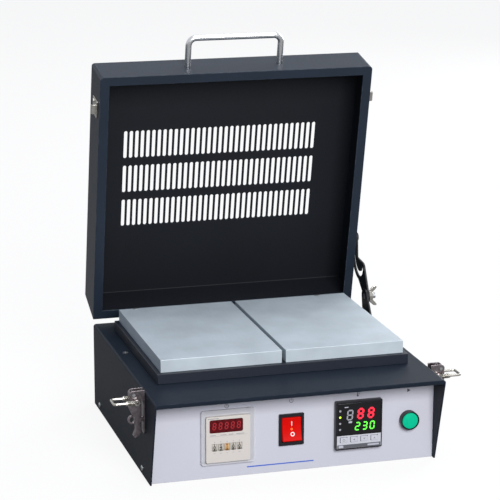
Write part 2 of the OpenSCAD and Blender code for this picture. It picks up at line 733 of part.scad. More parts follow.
module latch_base(s) color("#a9acb0") handed(s) difference() {
    union() {
        slab_x(0, latch_plate_t)
            round_rect([-ear_in - ear_t, pivot_z - latch_plate_l], [ear_in + ear_t, body_h - fold_r], 2);
        for (t = [-1, 1]) translate([0, t * (ear_in + ear_t / 2), 0])
            slab_y(-ear_t / 2, ear_t / 2) translate([0, pivot_z]) {
                polygon([[0.4, 4], [0.4, -9], [latch_plate_t, -9], [4.4, -5.4], [pivot_out, -4],
                    [pivot_out, 4]]);
                translate([pivot_out, 0]) circle(4);
            }
        slab_y(-eye_t / 2, eye_t / 2) {
            translate([eye_out, eye_z]) circle(4.5);
            translate([latch_plate_t - eps, eye_z - 2.5]) square([eye_out - 3, 5]);
        }
    }
    slab_y(-2, 2) translate([eye_out, eye_z]) circle(2.4);
    rod_y(-12, 12, lever_pin_r, pivot_out, pivot_z);
}

// side outline of the lever, seen from its pivot's height
lever_outer = [[pivot_out + 3.9, 0], [15.4, -13], [9.6, -27], [8.6, -36], [11.2, -42.4]];
lever_inner = [[10, -44], [5.6, -41.4], [4, -38], [4, -5], [pivot_out - 3.9, 0]];

module latch_lever(s) color("#a6a4a2") handed(s) difference() {
    slab_y(-lever_half, lever_half) translate([0, pivot_z]) {
        polygon(concat(lever_outer, lever_inner));
        translate([pivot_out, 0]) circle(3.9);
    }
    // hollow from the wall side, leaving the two cheeks and the outer face
    slab_y(-lever_half + lever_t, lever_half - lever_t) translate([0, pivot_z])
        polygon(concat([for (p = lever_outer) p - [lever_t, 0]],
            [[0, -60], [0, 10], [pivot_out + 3.9 - lever_t, 10]]));
    rod_y(-12, 12, lever_pin_r + run, pivot_out, pivot_z);
    rod_y(-12, 12, loop_pin_r, trunnion_out, trunnion_z);
    // slot that the padlock eye passes through
    span([0, -eye_t / 2 - 0.4, eye_z - 6.5], [20, eye_t / 2 + 0.4, eye_z + 6.5]);
}

loop_bend = 2.5;
module latch_loop(s) color("#c9c9c6") handed(s) {
    bar_x = trunnion_out + loop_l;
    for (t = [-1, 1]) {
        difference() {
            union() {
                rod_y(t * loop_half - wire_r, t * loop_half + wire_r, barrel_r, trunnion_out, trunnion_z);
                rod_x(trunnion_out, bar_x - loop_bend, wire_r, t * loop_half, trunnion_z);
                // collar that the spring bears on
                rod_x(trunnion_out + barrel_r + spring_len, trunnion_out + barrel_r + spring_len + 1,
                    wire_r + 0.9, t * loop_half, trunnion_z);
            }
            rod_y(-20, 20, loop_pin_r + run, trunnion_out, trunnion_z);
        }
        translate([bar_x - loop_bend, t * (loop_half - loop_bend), trunnion_z])
            rotate(t > 0 ? 0 : -90) rotate_extrude(angle = 90) translate([loop_bend, 0]) circle(wire_r);
    }
    rod_y(-loop_half + loop_bend, loop_half - loop_bend, wire_r, bar_x, trunnion_z);
}

// close-wound springs on the loop's rods, as ribbed sleeves
coil_r = 0.45;
module latch_springs(s) color("#b8b6b0") handed(s) for (t = [-1, 1])
    translate([trunnion_out + barrel_r, t * loop_half, trunnion_z]) rotate([0, 90, 0]) rotate_extrude() {
        translate([wire_r, 0]) square([0.5, spring_len]);
        for (i = [0:8]) translate([wire_r + 0.45, coil_r + i * (spring_len - 2 * coil_r) / 8])
            circle(coil_r, $fn = 16);
    }

// pivot pins of both levers and both loops
module latch_pins() color("#8d8f92") for (s = [-1, 1]) handed(s)
    rod_y(-ear_in - ear_t - 0.6, ear_in + ear_t + 0.6, lever_pin_r, pivot_out, pivot_z);

module loop_pin(s) handed(s)
    rod_y(-loop_half - wire_r - 0.4, loop_half + wire_r + 0.4, loop_pin_r, trunnion_out, trunnion_z);

// ---------------------------------------------------------------- lid stay

bracket_foot = 27;       // reach of the bracket's foot in front of the bolt
bracket_drop = 32;       // reach of the bracket below the deck
module stay_bracket() color("#1e2024") difference() {
    slab_x(wall_x, wall_x + bracket_t) {
        polygon(concat([[bolt_y - bracket_foot, body_h - bracket_drop], [bolt_y + 1, body_h - bracket_drop],
            [bolt_y + 5, body_h + 2]], arc([bolt_y, bolt_z], arm_r + 0.5, -20, 165),
            [[bolt_y - bracket_foot + 4, body_h + 1]]));
    }
    rod_x(wall_x - 1, arm_x1, bolt_r, bolt_y, bolt_z);
    for (p = bracket_rivets) rod_x(wall_x - 1, arm_x1, bracket_rivet_r, p[0], p[1]);
}

module stay_bolt() color("#b0b3b6") {
    rod_x(wall_x, arm_x1 + 8, bolt_r, bolt_y, bolt_z);
    for (p = bracket_rivets) {
        rod_x(wall_x + bracket_t, wall_x + bracket_t + 1.2, 3.4, p[0], p[1]);
        rod_x(wall_x - sheet - 0.8, wall_x + bracket_t + eps, bracket_rivet_r, p[0], p[1]);
    }
}

// where the lid's rivet lies at a share t of the closing turn, seen from the bolt in the arm's frame
rivet_open = hinge_at + turned(rivet_closed - hinge_at, -open_angle);
function rivet_seen(t) =
    turned(hinge_at + turned(rivet_open - hinge_at, t * open_angle) - [bolt_y, bolt_z], -t * stay_turn);
stay_path = [for (i = [0:stay_steps]) rivet_seen(i / stay_steps)];

// outline of a band along a path
function along(p, i) = let (a = p[max(i - 1, 0)], b = p[min(i + 1, len(p) - 1)]) (b - a) / norm(b - a);
function beside(p, i, w) = p[i] + w * [-along(p, i)[1], along(p, i)[0]];
module band(p, w) {
    n = len(p) - 1;
    polygon(concat([for (i = [0:n]) beside(p, i, w)], [for (i = [n:-1:0]) beside(p, i, -w)]));
    for (q = [p[0], p[n]]) translate(q) circle(w);
}

slot_half = rivet_r + air + 0.05;
module stay_arm() color("#17181b") translate([0, bolt_y, bolt_z]) difference() {
    slab_x(arm_x0, arm_x1) {
        arm_outline();
        circle(arm_r);
    }
    slab_x(arm_x0 - 1, arm_x1 + 1) band(stay_path, slot_half);
    rod_x(arm_x0 - 1, arm_x1 + 1, bolt_r + run, 0, 0);
}

// outer edge of the arm: round ends joined by straight and bowed flanks
module arm_outline() {
    top = stay_path[0];
    mid = stay_path[stay_steps / 3];
    low = stay_path[stay_steps * 2 / 3];
    end = stay_path[stay_steps];
    rim = slot_half + 4;
    for (pair = [[top, mid], [mid, low], [low, [0, 0]], [end, [0, 0]], [mid, end]]) {
        u = (pair[1] - pair[0]) / norm(pair[1] - pair[0]);
        side = rim * [-u[1], u[0]];
        polygon([pair[0] + side, pair[0] - side, pair[1] - side, pair[1] + side]);
    }
    for (q = [top, mid, low, end]) translate(q) circle(rim);
    for (i = [1:stay_steps - 1]) translate(stay_path[i]) circle(rim, $fn = 32);
}

hub_r = 5;
hub_l = 5;
module wing_nut() color("#c4c6c8") translate([arm_x1 + air, bolt_y, bolt_z]) difference() {
    union() {
        rotate([0, 90, 0]) cylinder(r1 = hub_r, r2 = hub_r - 0.8, h = hub_l);
        for (a = [0, 180]) rotate([a, 0, 0]) slab_y(-0.9, 0.9)
            polygon([[0.6, hub_r - 1.5], [4.4, hub_r - 1.5], [8.6, hub_r + 2.4], [10.2, hub_r + 5.2],
                [8.8, hub_r + 6.4], [6, hub_r + 5.6], [2.4, hub_r + 2.4]]);
    }
    rod_x(-1, hub_l + 1, bolt_r + run, 0, 0);
}

// shouldered rivet that slides in the arm's slot
module stay_rivet() color("#2a2c30") swung() {
    y = rivet_closed[0];
    z = rivet_closed[1];
    rod_x(lid_w / 2 - sheet - 1, arm_x1 + air + 0.1, rivet_r, y, z);
    rod_x(lid_w / 2, arm_x0 - air, rivet_r + 2, y, z);
    rod_x(arm_x1 + air, arm_x1 + air + 1.3, rivet_r + 1.8, y, z);
    rod_x(lid_w / 2 - sheet - 1, lid_w / 2 - sheet, rivet_r + 2, y, z);
}

// ---------------------------------------------------------------- hinges

knuckles = 5;
knuckle_l = hinge_l / knuckles;

// knuckles first, first + 2, ... of one hinge
module knuckle_row(first) for (i = [first:2:knuckles - 1])
    rod_x(-hinge_l / 2 + i * knuckle_l + air / 2, -hinge_l / 2 + (i + 1) * knuckle_l - air / 2,
        knuckle_r, axis_y, axis_z);

hinge_x = wall_x - hinge_in;
module hinge_base_leaves() color("#3c4046") for (s = [-1, 1]) translate([s * hinge_x, 0, 0])
    difference() {
        union() {
            knuckle_row(0);
            span([-hinge_l / 2, back_y, body_h - leaf_h], [hinge_l / 2, back_y + leaf_t, body_h]);
            span([-hinge_l / 2 + air / 2, back_y + leaf_t - eps, axis_z - knuckle_r],
                [hinge_l / 2 - air / 2, axis_y, axis_z - pin_r]);
        }
        for (i = [1:2:knuckles - 1]) span([-hinge_l / 2 + i * knuckle_l - air / 2, back_y - 1, axis_z - 3.4],
            [-hinge_l / 2 + (i + 1) * knuckle_l + air / 2, axis_y + 4, axis_z + 4]);
        rod_x(-hinge_l, hinge_l, pin_r, axis_y, axis_z);
    }

module hinge_lid_leaves() color("#3c4046") swung() for (s = [-1, 1]) translate([s * hinge_x, 0, 0])
    difference() {
        union() {
            knuckle_row(1);
            slab_x(-hinge_l / 2, hinge_l / 2) polygon([back_face(0.6), back_face(leaf_h),
                back_face(leaf_h) + [leaf_t, 0], back_face(0.6) + [leaf_t + 0.6, 0]]);
        }
        for (i = [0:2:knuckles - 1]) span([-hinge_l / 2 + i * knuckle_l - air / 2, lid_back - 9, lid_z - 3],
            [-hinge_l / 2 + (i + 1) * knuckle_l + air / 2, axis_y + 4, axis_z + 3.4]);
        rod_x(-hinge_l, hinge_l, pin_r + run, axis_y, axis_z);
    }

module hinge_pins() color("#9c9fa3") for (s = [-1, 1])
    rod_x(s * hinge_x - hinge_l / 2 - 0.8, s * hinge_x + hinge_l / 2 + 0.8, pin_r, axis_y, axis_z);

// ---------------------------------------------------------------- lid

// a point of the lid's leaning back face, at a height above the rim
function back_face(h) = [lid_back - back_lean * h / lid_h, lid_z + h];

// the lid's plan, with its front corners rounded, drawn in from its outside by a distance
module lid_plan(inset) translate([0, 0, lid_z - 1]) linear_extrude(lid_h + 2)
    round_rect([-lid_w / 2 + inset, lid_front + inset],
        [lid_w / 2 - inset, lid_back + 2 * lid_corner_r], lid_corner_r - inset);

module lid_shell() color("#343b45") swung() difference() {
    intersection() {
        slab_x(-lid_w / 2, lid_w / 2)
            polygon(concat([[lid_front, lid_z], [lid_back, lid_z], back_face(lid_h)],
                arc([lid_front + fold_r, lid_top - fold_r], fold_r, 90, 180, 6)));
        lid_plan(0);
    }
    intersection() {
        slab_x(-lid_w / 2 + sheet, lid_w / 2 - sheet)
            polygon([[lid_front + sheet, lid_z + sheet], [lid_back - sheet, lid_z + sheet],
                back_face(lid_h - sheet) - [sheet, 0], [lid_front + sheet, lid_top - sheet]]);
        lid_plan(sheet);
    }
    span([-lid_w / 2 + rim_w, lid_front + rim_w, lid_z - 1],
        [lid_w / 2 - rim_w, lid_back - rim_w, lid_z + sheet + 1]);
    translate([slot_shift, lid_back, lid_top - sheet - 1]) linear_extrude(sheet + 2)
        for (r = [0:slot_rows - 1]) for (i = [0:slot_cols - 1])
            translate([(i - (slot_cols - 1) / 2) * slot_pitch, -slot_first - r * slot_row_pitch])
                slot2(slot_w, slot_l);
    for (s = [-1, 1]) rod_y(lid_front - 1, lid_front + sheet + 1, rod_r, s * handle_span / 2, lid_z + handle_up);
    rod_x(lid_w / 2 - sheet - 1, lid_w / 2 + 1, rivet_r, rivet_closed[0], rivet_closed[1]);
}

// U-shaped rod; its legs pass through the lid's front wall
module lid_handle() color("#c2c4c6") swung() translate([0, lid_front, lid_z + handle_up]) {
    bar_y = -(handle_reach - rod_r);
    for (s = [-1, 1]) {
        rod_y(bar_y + handle_bend, sheet + 7, rod_r, s * handle_span / 2, 0);
        translate([s * (handle_span / 2 - handle_bend), bar_y + handle_bend, 0])
            rotate(s > 0 ? -90 : 180) rotate_extrude(angle = 90) translate([handle_bend, 0]) circle(rod_r);
    }
    rod_x(-handle_span / 2 + handle_bend, handle_span / 2 - handle_bend, rod_r, bar_y, 0);
}

module handle_nuts() color("#a7aaad") swung() for (s = [-1, 1]) difference() {
    rod_y(lid_front + sheet, lid_front + sheet + 5, nut_flat_r, s * handle_span / 2, lid_z + handle_up,
        $fn = 6);
    rod_y(lid_front, lid_front + sheet + 6, rod_r, s * handle_span / 2, lid_z + handle_up);
}

// hooks that the wire loops catch
hook_half = 5;
hook_tip = 6.8;
keeper_half = 9.5;
keeper_up = 16;
keeper_t = 1.5;
module latch_keepers() color("#c3c4c6") swung() for (s = [-1, 1]) handed(s)
    translate([-air, 0, hook_z]) {
        slab_x(0, keeper_t) round_rect([-keeper_half, -3], [keeper_half, keeper_up], 2);
        slab_y(-hook_half, hook_half)
            polygon([[keeper_t - eps, -1.8], [hook_tip - 1.2, -1.8], [hook_tip, -0.6], [hook_tip, 2],
                [hook_tip - 1, 2], [hook_tip - 1.3, 0], [keeper_t - eps, 0]]);
        for (t = [-1, 1]) rod_x(keeper_t - eps, keeper_t + 1, 2, t * (keeper_half - 4), keeper_up - 5);
    }

// ---------------------------------------------------------------- inside and back

relay_w = 45;
relay_d = 60;
relay_h = 26;
relay_foot = 5;          // thickness of its mounting plate
relay_step = 2;          // how far the plate stands out past the block
relay_post_r = 3.4;
relay_side = 86;         // from the right wall to the relay's left side
relay_back = 78;         // from the back panel to the relay's front
relay_x = wall_x - relay_side;
relay_y = back_y - relay_back;
module relay() color("#20242b") translate([relay_x, relay_y, sheet]) {
    cube([relay_w, relay_d, relay_foot]);
    span([relay_step, relay_step, relay_foot], [relay_w - relay_step, relay_d - relay_step, relay_h]);
    for (x = [10, relay_w - 10]) for (y = [6, relay_d - 6]) translate([x, y, relay_h - eps])
        cylinder(r = relay_post_r, h = 2.5);
}

block_ways = 8;
block_pitch = 10;
block_d = 22;
block_h = 18;
block_x = -60;           // left end of the terminal block
block_y = relay_y + 10;
module terminal_block() color("#d8d6cc") translate([block_x, block_y, sheet]) difference() {
    cube([block_ways * block_pitch, block_d, block_h]);
    for (i = [0:block_ways - 1]) translate([(i + 0.5) * block_pitch, block_d / 2, block_h - 10])
        cylinder(r = 3, h = 12);
}

module cable_gland() color("#1b1c1f") difference() {
    union() {
        rod_y(back_y - sheet - 9, back_y + eps, gland_thread_r, gland_x, gland_z);
        rod_y(back_y, back_y + 6, 12, gland_x, gland_z, $fn = 6);
        rod_y(back_y + 6 - eps, back_y + 12, 9.6, gland_x, gland_z);
        rod_y(back_y + 12 - eps, back_y + 18, 8, gland_x, gland_z);
    }
    rod_y(back_y - sheet - 10, back_y + 20, gland_bore_r, gland_x, gland_z);
}

module gland_nut() color("#222327") difference() {
    rod_y(back_y - sheet - 5, back_y - sheet, 12, gland_x, gland_z, $fn = 6);
    rod_y(back_y - sheet - 6, back_y - sheet + 1, gland_thread_r, gland_x, gland_z);
}

// ---------------------------------------------------------------- nodes

chassis();
front_panel();
back_panel();
outer_cover();
heater_collar();
heating_plate(-1);  // heating_plate_left
heating_plate(1);  // heating_plate_right
heater_elements();
clamp_plates();
clamp_studs();
heater_tray();
insulation_pad();
plate_clips();
thermocouple();
case_screws();
timer_case();
timer_guard();
timer_window();
timer_wheel(1);  // timer_wheel_1
timer_wheel(2);  // timer_wheel_2
timer_wheel(3);  // timer_wheel_3
timer_wheel(4);  // timer_wheel_4
timer_wheel(5);  // timer_wheel_5
rocker_housing();
rocker();
controller_case();
controller_lens();
key_strip();
controller_key(1);  // controller_key_1
controller_key(2);  // controller_key_2
controller_key(3);  // controller_key_3
controller_key(4);  // controller_key_4
button_bezel();
button_nut();
start_button();
contact_block();
latch_base(-1);  // latch_base_left
latch_base(1);  // latch_base_right
union() { latch_lever(-1); loop_pin(-1); }  // latch_lever_left
union() { latch_lever(1); loop_pin(1); }  // latch_lever_right
latch_loop(-1);  // latch_loop_left
latch_loop(1);  // latch_loop_right
latch_springs(-1);  // latch_springs_left
latch_springs(1);  // latch_springs_right
latch_pins();
stay_bracket();
stay_bolt();
stay_arm();
wing_nut();
stay_rivet();
hinge_base_leaves();
hinge_lid_leaves();
hinge_pins();
lid_shell();
lid_handle();
handle_nuts();
latch_keepers();
relay();
terminal_block();
cable_gland();
gland_nut();
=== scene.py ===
"""Looks of a benchtop reflow oven: finishes, softened edges, displays, printed marks, springs and light."""

import json
import logging
import math
from dataclasses import dataclass, field
from enum import Enum
from typing import Callable, Iterable, Sequence

import bmesh
import bpy
from mathutils import Matrix, Vector


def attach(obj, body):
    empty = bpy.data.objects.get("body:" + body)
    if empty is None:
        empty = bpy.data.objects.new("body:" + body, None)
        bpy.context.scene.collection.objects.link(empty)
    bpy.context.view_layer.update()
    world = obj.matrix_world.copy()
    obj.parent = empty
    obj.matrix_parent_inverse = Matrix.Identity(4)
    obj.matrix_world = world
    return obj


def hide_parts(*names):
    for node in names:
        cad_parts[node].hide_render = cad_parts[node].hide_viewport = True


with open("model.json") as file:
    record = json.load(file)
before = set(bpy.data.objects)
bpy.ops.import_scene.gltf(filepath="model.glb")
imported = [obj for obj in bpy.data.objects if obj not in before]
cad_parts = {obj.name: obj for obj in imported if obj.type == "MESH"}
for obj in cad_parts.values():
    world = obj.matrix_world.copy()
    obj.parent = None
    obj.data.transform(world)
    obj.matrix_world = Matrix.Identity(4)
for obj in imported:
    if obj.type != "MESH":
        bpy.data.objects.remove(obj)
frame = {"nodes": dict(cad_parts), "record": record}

log = logging.getLogger("oven")
MM = 0.001

Point = tuple[float, float]
Object = bpy.types.Object
Node = bpy.types.Node
Tree = bpy.types.NodeTree
Socket = bpy.types.NodeSocket

# where things are on the case, in metres, as the frame has them
PANEL_Y = -0.1135
BEZEL_OUT = 0.006
DEVICE_Z = 0.042
TIMER_X = -0.0686
TIMER_Z = 0.0408
ROCKER_X = -0.0034
CONTROLLER_X = 0.0649
BUTTON_X = 0.1183
LATCH_Y = -0.0955
WALL_X = 0.146


class Side(Enum):
    """A side of the case, with the sign of its X."""

    LEFT = -1
    RIGHT = 1

    @property
    def word(self) -> str:
        """The side's name as the nodes and bodies have it."""
        return self.name.lower()


class Edge(Enum):
    """How far an edge of a part is rounded over, in metres."""

    HAIR = 0.00006
    CRISP = 0.00015
    FINE = 0.00025
    SHEET = 0.00045
    SOFT = 0.0007


# ---- materials


def linear(code: str, alpha: float = 1.0) -> tuple[float, float, float, float]:
    """Turns an sRGB hex colour to linear.

    Args:
        code: six hex digits.
        alpha: the fourth value.

    Returns:
        Red, green, blue and alpha.
    """
    parts = [int(code[i : i + 2], 16) / 255 for i in (0, 2, 4)]
    r, g, b = [c / 12.92 if c <= 0.04045 else ((c + 0.055) / 1.055) ** 2.4 for c in parts]
    return (r, g, b, alpha)


def add_node(tree: Tree, kind: str, settings: dict | None = None, inputs: dict | None = None) -> Node:
    """Adds one node with its settings and links.

    Args:
        tree: the tree that gets the node.
        kind: the node's type name.
        settings: attribute values.
        inputs: socket name or number to a value or to an output socket.

    Returns:
        The new node.
    """
    node = tree.nodes.new(kind)
    for key, value in (settings or {}).items():
        setattr(node, key, value)
    for key, value in (inputs or {}).items():
        if isinstance(value, Socket):
            tree.links.new(value, node.inputs[key])
        else:
            node.inputs[key].default_value = value
    return node


# parts of a noise's range that carry the colour, the gloss and the worn patches
TONE_RANGE = (0.35, 0.65)
GLOSS_RANGE = (0.3, 0.7)
PATCH_RANGE = (0.44, 0.62)
# cosine between an edge's rounded normal and its own, where wear begins and where it is full
EDGE_RANGE = (0.995, 0.9)


@dataclass(frozen=True)
class Grain:
    """A fine pattern in a surface.

    Attributes:
        size: width of one grain in metres.
        depth: height of its bump in metres.
        tint: how much it darkens the colour, 0 to 1.
        stretch: scale of the pattern along X, Y and Z.
        detail: octaves of the noise.
    """

    size: float
    depth: float = 0.0
    tint: float = 0.0
    stretch: tuple[float, float, float] = (1.0, 1.0, 1.0)
    detail: float = 3.0


@dataclass(frozen=True)
class Wear:
    """Edges that rubbing has worn through or polished.

    Attributes:
        colour: sRGB hex of what shows there.
        reach: how far it goes in from an edge, in metres.
        amount: 0 to 1.
        patch: width of one worn patch, about 7 mm, in metres.
    """

    colour: str
    reach: float = 0.0008
    amount: float = 0.5
    patch: float = 1 / 140


@dataclass(frozen=True)
class Finish:
    """A real finish: what a part is made of and how its surface was made.

    Attributes:
        name: name of the material.
        colour: sRGB hex.
        metallic: 0 for a plastic or paint, 1 for bare metal.
        roughness: of the gloss.
        grain: fine pattern.
        smudge: wide pattern, as of handling or oxide.
        coat: strength of a clear coat.
        glow: sRGB hex of its own light, if it is lit.
        glow_strength: strength of that light.
        gloss: specular level, 0.5 for a plain plastic.
        vary: how far the roughness varies up and down.
        wear: worn edges.
        clear: share of light that goes straight through.
    """

    name: str
    colour: str
    metallic: float = 0.0
    roughness: float = 0.5
    grain: Grain | None = None
    smudge: Grain | None = None
    coat: float = 0.0
    glow: str = ""
    glow_strength: float = 0.0
    gloss: float = 0.5
    vary: float = 0.05
    wear: Wear | None = None
    clear: float = 0.0

    def material(self) -> bpy.types.Material:
        """Makes the finish's material, or finds it if it is made already.

        Returns:
            The material.
        """
        found = bpy.data.materials.get(self.name)
        if found:
            return found
        made = bpy.data.materials.new(self.name)
        made.use_nodes = True
        tree = made.node_tree
        shader = next(n for n in tree.nodes if n.type == "BSDF_PRINCIPLED")
        values = {"Base Color": linear(self.colour), "Metallic": self.metallic, "Roughness": self.roughness,
                  "Specular IOR Level": self.gloss, "Coat Weight": self.coat, "Alpha": 1 - self.clear}
        if self.glow:
            values |= {"Emission Color": linear(self.glow), "Emission Strength": self.glow_strength}
        for key, value in values.items():
            shader.inputs[key].default_value = value
        self._pattern(tree, shader)
        made.diffuse_color = linear(self.colour)
        return made

    def _pattern(self, tree: Tree, shader: Node) -> None:
        """Adds the grain, the smudges and the wear to the colour, the roughness and the normal.

        Args:
            tree: the material's tree.
            shader: its shader.
        """
        place = add_node(tree, "ShaderNodeTexCoord").outputs["Object"]
        tone = noise = None
        for pattern in filter(None, (self.smudge, self.grain)):
            spot = add_node(tree, "ShaderNodeMapping", inputs={"Vector": place, "Scale": pattern.stretch})
            noise = add_node(tree, "ShaderNodeTexNoise", inputs={
                "Vector": spot.outputs[0], "Scale": 1 / pattern.size, "Detail": pattern.detail})
            if pattern.tint and tone is None:
                tone = add_node(tree, "ShaderNodeValToRGB", inputs={0: noise.outputs["Fac"]})
                low, high = tone.color_ramp.elements
                low.position, high.position = TONE_RANGE
                r, g, b, a = linear(self.colour)
                shade = 1 - pattern.tint
                low.color = (r * shade, g * shade, b * shade, a)
                high.color = (r, g, b, a)
                tree.links.new(tone.outputs[0], shader.inputs["Base Color"])
            if pattern.depth:
                bump = add_node(tree, "ShaderNodeBump", inputs={
                    "Height": noise.outputs["Fac"], "Distance": pattern.depth, "Strength": 1.0})
                tree.links.new(bump.outputs[0], shader.inputs["Normal"])
        if noise:
            rough = add_node(tree, "ShaderNodeMapRange", inputs={
                "Value": noise.outputs["Fac"], "From Min": GLOSS_RANGE[0], "From Max": GLOSS_RANGE[1],
                "To Min": self.roughness - self.vary, "To Max": self.roughness + self.vary})
            tree.links.new(rough.outputs[0], shader.inputs["Roughness"])
        if self.wear:
            self._worn(tree, shader, place, tone.outputs[0] if tone else None)

    def _worn(self, tree: Tree, shader: Node, place: Socket, tone: Socket | None) -> None:
        """Shows the worn colour in patches along the edges.

        Args:
            tree: the material's tree.
            shader: its shader.
            place: where the patterns are measured.
            tone: the colour so far, if a pattern makes it.
        """
        rounded = add_node(tree, "ShaderNodeBevel", {"samples": 4}, {"Radius": self.wear.reach})
        real = add_node(tree, "ShaderNodeNewGeometry")
        along = add_node(tree, "ShaderNodeVectorMath", {"operation": "DOT_PRODUCT"}, {
            0: rounded.outputs[0], 1: real.outputs["Normal"]})
        edge = add_node(tree, "ShaderNodeMapRange", inputs={
            "Value": along.outputs["Value"], "From Min": EDGE_RANGE[0], "From Max": EDGE_RANGE[1]})
        noise = add_node(tree, "ShaderNodeTexNoise", inputs={
            "Vector": place, "Scale": 1 / self.wear.patch, "Detail": 5.0})
        patch = add_node(tree, "ShaderNodeMapRange", inputs={
            "Value": noise.outputs["Fac"], "From Min": PATCH_RANGE[0], "From Max": PATCH_RANGE[1],
            "To Max": self.wear.amount})
        bare = add_node(tree, "ShaderNodeMath", {"operation": "MULTIPLY"}, {
            0: edge.outputs[0], 1: patch.outputs[0]})
        mix = add_node(tree, "ShaderNodeMix", {"data_type": "RGBA"}, {
            0: bare.outputs[0], 6: tone or linear(self.colour), 7: linear(self.wear.colour)})
        tree.links.new(mix.outputs[2], shader.inputs["Base Color"])


def print_of(name: str, colour: str, roughness: float = 0.6, tint: float = 0.05) -> Finish:
    """A thin print on a panel or a plastic: matt, with a faint mottle."""
    return Finish(name, colour, roughness=roughness, grain=Grain(0.0004, 0.0, tint))


# the grain of plated metal, plastics and inks is finer on the real ones,
# and is drawn 0.4 to 4 mm wide here so that it shows
# epoxy powder coat over folded steel: satin, with a faint orange peel; the case's copy is darker and has
# far less gloss than the lid's, a painted shade that keeps the case's side walls dark
PEEL = Grain(0.0011, 0.00003, 0.10)
HANDLED = Grain(0.05, 0.0, 0.12, detail=4.0)
CASE_COAT = Finish("slate powder coat", "1e2631", roughness=0.44, gloss=0.07, grain=PEEL, smudge=HANDLED,
                   wear=Wear("5a6068", 0.0009, 0.5))
LID_COAT = Finish("slate powder coat on the lid", "202a37", roughness=0.42, gloss=0.26, grain=PEEL,
                  smudge=HANDLED, wear=Wear("6a7078", 0.0009, 0.6))
# the lid's inside: a matt near-black coat, darker than the outer coat as painted shade where little light
# reaches into the lid
INSIDE_SHADE_COAT = Finish("matt black heat coat", "0f1219", roughness=0.62, gloss=0.25,
                   grain=Grain(0.0014, 0.00003, 0.12), smudge=Grain(0.06, 0.0, 0.15, detail=4.0))
# enamel round the plates: a little glossier, rubbed paler at its edges
COLLAR_COAT = Finish("dark enamel on steel", "1f242f", roughness=0.4, gloss=0.3,
                     grain=Grain(0.0012, 0.00003, 0.12), wear=Wear("4a505a", 0.0008, 0.4))
# pale grey panel paint, smoother than the case's coat
PANEL_COAT = Finish("pale grey panel paint", "cacad4", roughness=0.42, grain=Grain(0.0009, 0.00001, 0.02))
# heating plates: milled aluminium, gone matt and blotched by heat
PLATE = Finish("oxidised milled aluminium", "c0cad0", metallic=0.1, roughness=0.46, vary=0.1,
               grain=Grain(0.0008, 0.00001, 0.0, (1.0, 0.05, 1.0)),
               smudge=Grain(0.035, 0.0, 0.14, detail=6.0), wear=Wear("e4e8ec", 0.0008, 0.6))
# nickel plate on pressed steel: bright, with a faint yellow
NICKEL = Finish("nickel plated steel", "c9c6bf", metallic=1.0, roughness=0.24,
                grain=Grain(0.002, 0.000006, 0.08))
# the same plate on the latches' bases and levers: duller and cloudy, and darker and browner as painted
# shade where they sit in shade on the case's sides
NICKEL_SHADED = Finish("worn nickel plate", "8d8589", metallic=1.0, roughness=0.34, vary=0.08,
                     grain=Grain(0.0015, 0.00001, 0.2), smudge=Grain(0.006, 0.0, 0.35, detail=4.0))
# satin stainless rod, drawn lengthwise
STAINLESS = Finish("satin stainless rod", "dcdee0", metallic=1.0, roughness=0.28,
                   grain=Grain(0.0006, 0.000004, 0.06, (0.1, 1.0, 1.0)))
# zinc plate on screws, nuts and clips: plain grey, slightly blotched
STEEL = Finish("zinc plated steel", "b4b7ba", metallic=1.0, roughness=0.36,
               grain=Grain(0.0012, 0.000005, 0.15))
# galvanised sheet with a broad spangle
ZINC_SHEET = Finish("galvanised sheet", "aeb2b6", metallic=0.9, roughness=0.42,
                    grain=Grain(0.008, 0.0, 0.18))
# blackened steel: nearly black, with a faint oily sheen
BLACK_OXIDE = Finish("black oxide steel", "17191c", metallic=0.3, roughness=0.42,
                     grain=Grain(0.0012, 0.00002, 0.15))
# cold drawn wire: bright and even
SPRING = Finish("drawn spring wire", "bdbab2", metallic=1.0, roughness=0.25,
                grain=Grain(0.001, 0.000002, 0.1))
# pressed mica: golden, with dark flakes
MICA = Finish("pressed mica", "b89a5a", roughness=0.5, grain=Grain(0.003, 0.00002, 0.35))
# ceramic fibre: off-white, soft and wholly matt
FIBRE = Finish("ceramic fibre blanket", "e6e2d6", roughness=0.95,
               grain=Grain(0.0015, 0.0004, 0.15, detail=6.0))
# moulded plastics: an even satin, from the mould's fine texture
MOULDED = Grain(0.0006, 0.000006, 0.03)
CREAM = Finish("cream moulded ABS", "d4cdc6", roughness=0.42, grain=MOULDED)
# acetal number wheels: waxy, with hardly any gloss
WHEEL = Finish("ivory moulded acetal", "bcb5aa", roughness=0.55, gloss=0.3, grain=MOULDED)
WHEEL_AMBER = Finish("pale amber moulded acetal", "cda876", roughness=0.55, gloss=0.3,
                     grain=Grain(0.0006, 0.000006, 0.05))
# frosted polycarbonate: milky, half see-through
FROST = Finish("frosted clear polycarbonate", "f6f6fb", roughness=0.2, gloss=0.7, clear=0.5,
               grain=Grain(0.002, 0.000005, 0.02))
# red acrylic over dark digits: deep wine red
RED_GLASS = Finish("red acrylic filter", "560b12", roughness=0.3, gloss=0.2, grain=Grain(0.004, 0.0, 0.12))
# black ABS: soft grey sheen on near-black
BLACK_ABS = Finish("black moulded ABS", "17181e", roughness=0.38, gloss=0.3,
                   grain=Grain(0.0006, 0.000006, 0.08))
# smoked acrylic: nearly black, with clean reflections
SMOKE = Finish("smoked acrylic lens", "0b0c10", roughness=0.14, gloss=0.4, coat=0.15,
               grain=Grain(0.004, 0.0, 0.1))
# printed polyester film: flat and satin
KEY_FILM = Finish("silver key film", "c8c9d0", roughness=0.4, grain=Grain(0.0008, 0.000005, 0.05))
KEY_BAND = Finish("dark grey key film", "5b5c62", roughness=0.45, grain=Grain(0.0008, 0.000004, 0.05))
# red polycarbonate with a lamp inside: glows faintly all over
ROCKER_RED = Finish("lit red polycarbonate", "c20c08", roughness=0.4, gloss=0.05, glow="ff1206",
                    glow_strength=0.16, grain=Grain(0.004, 0.0, 0.12))
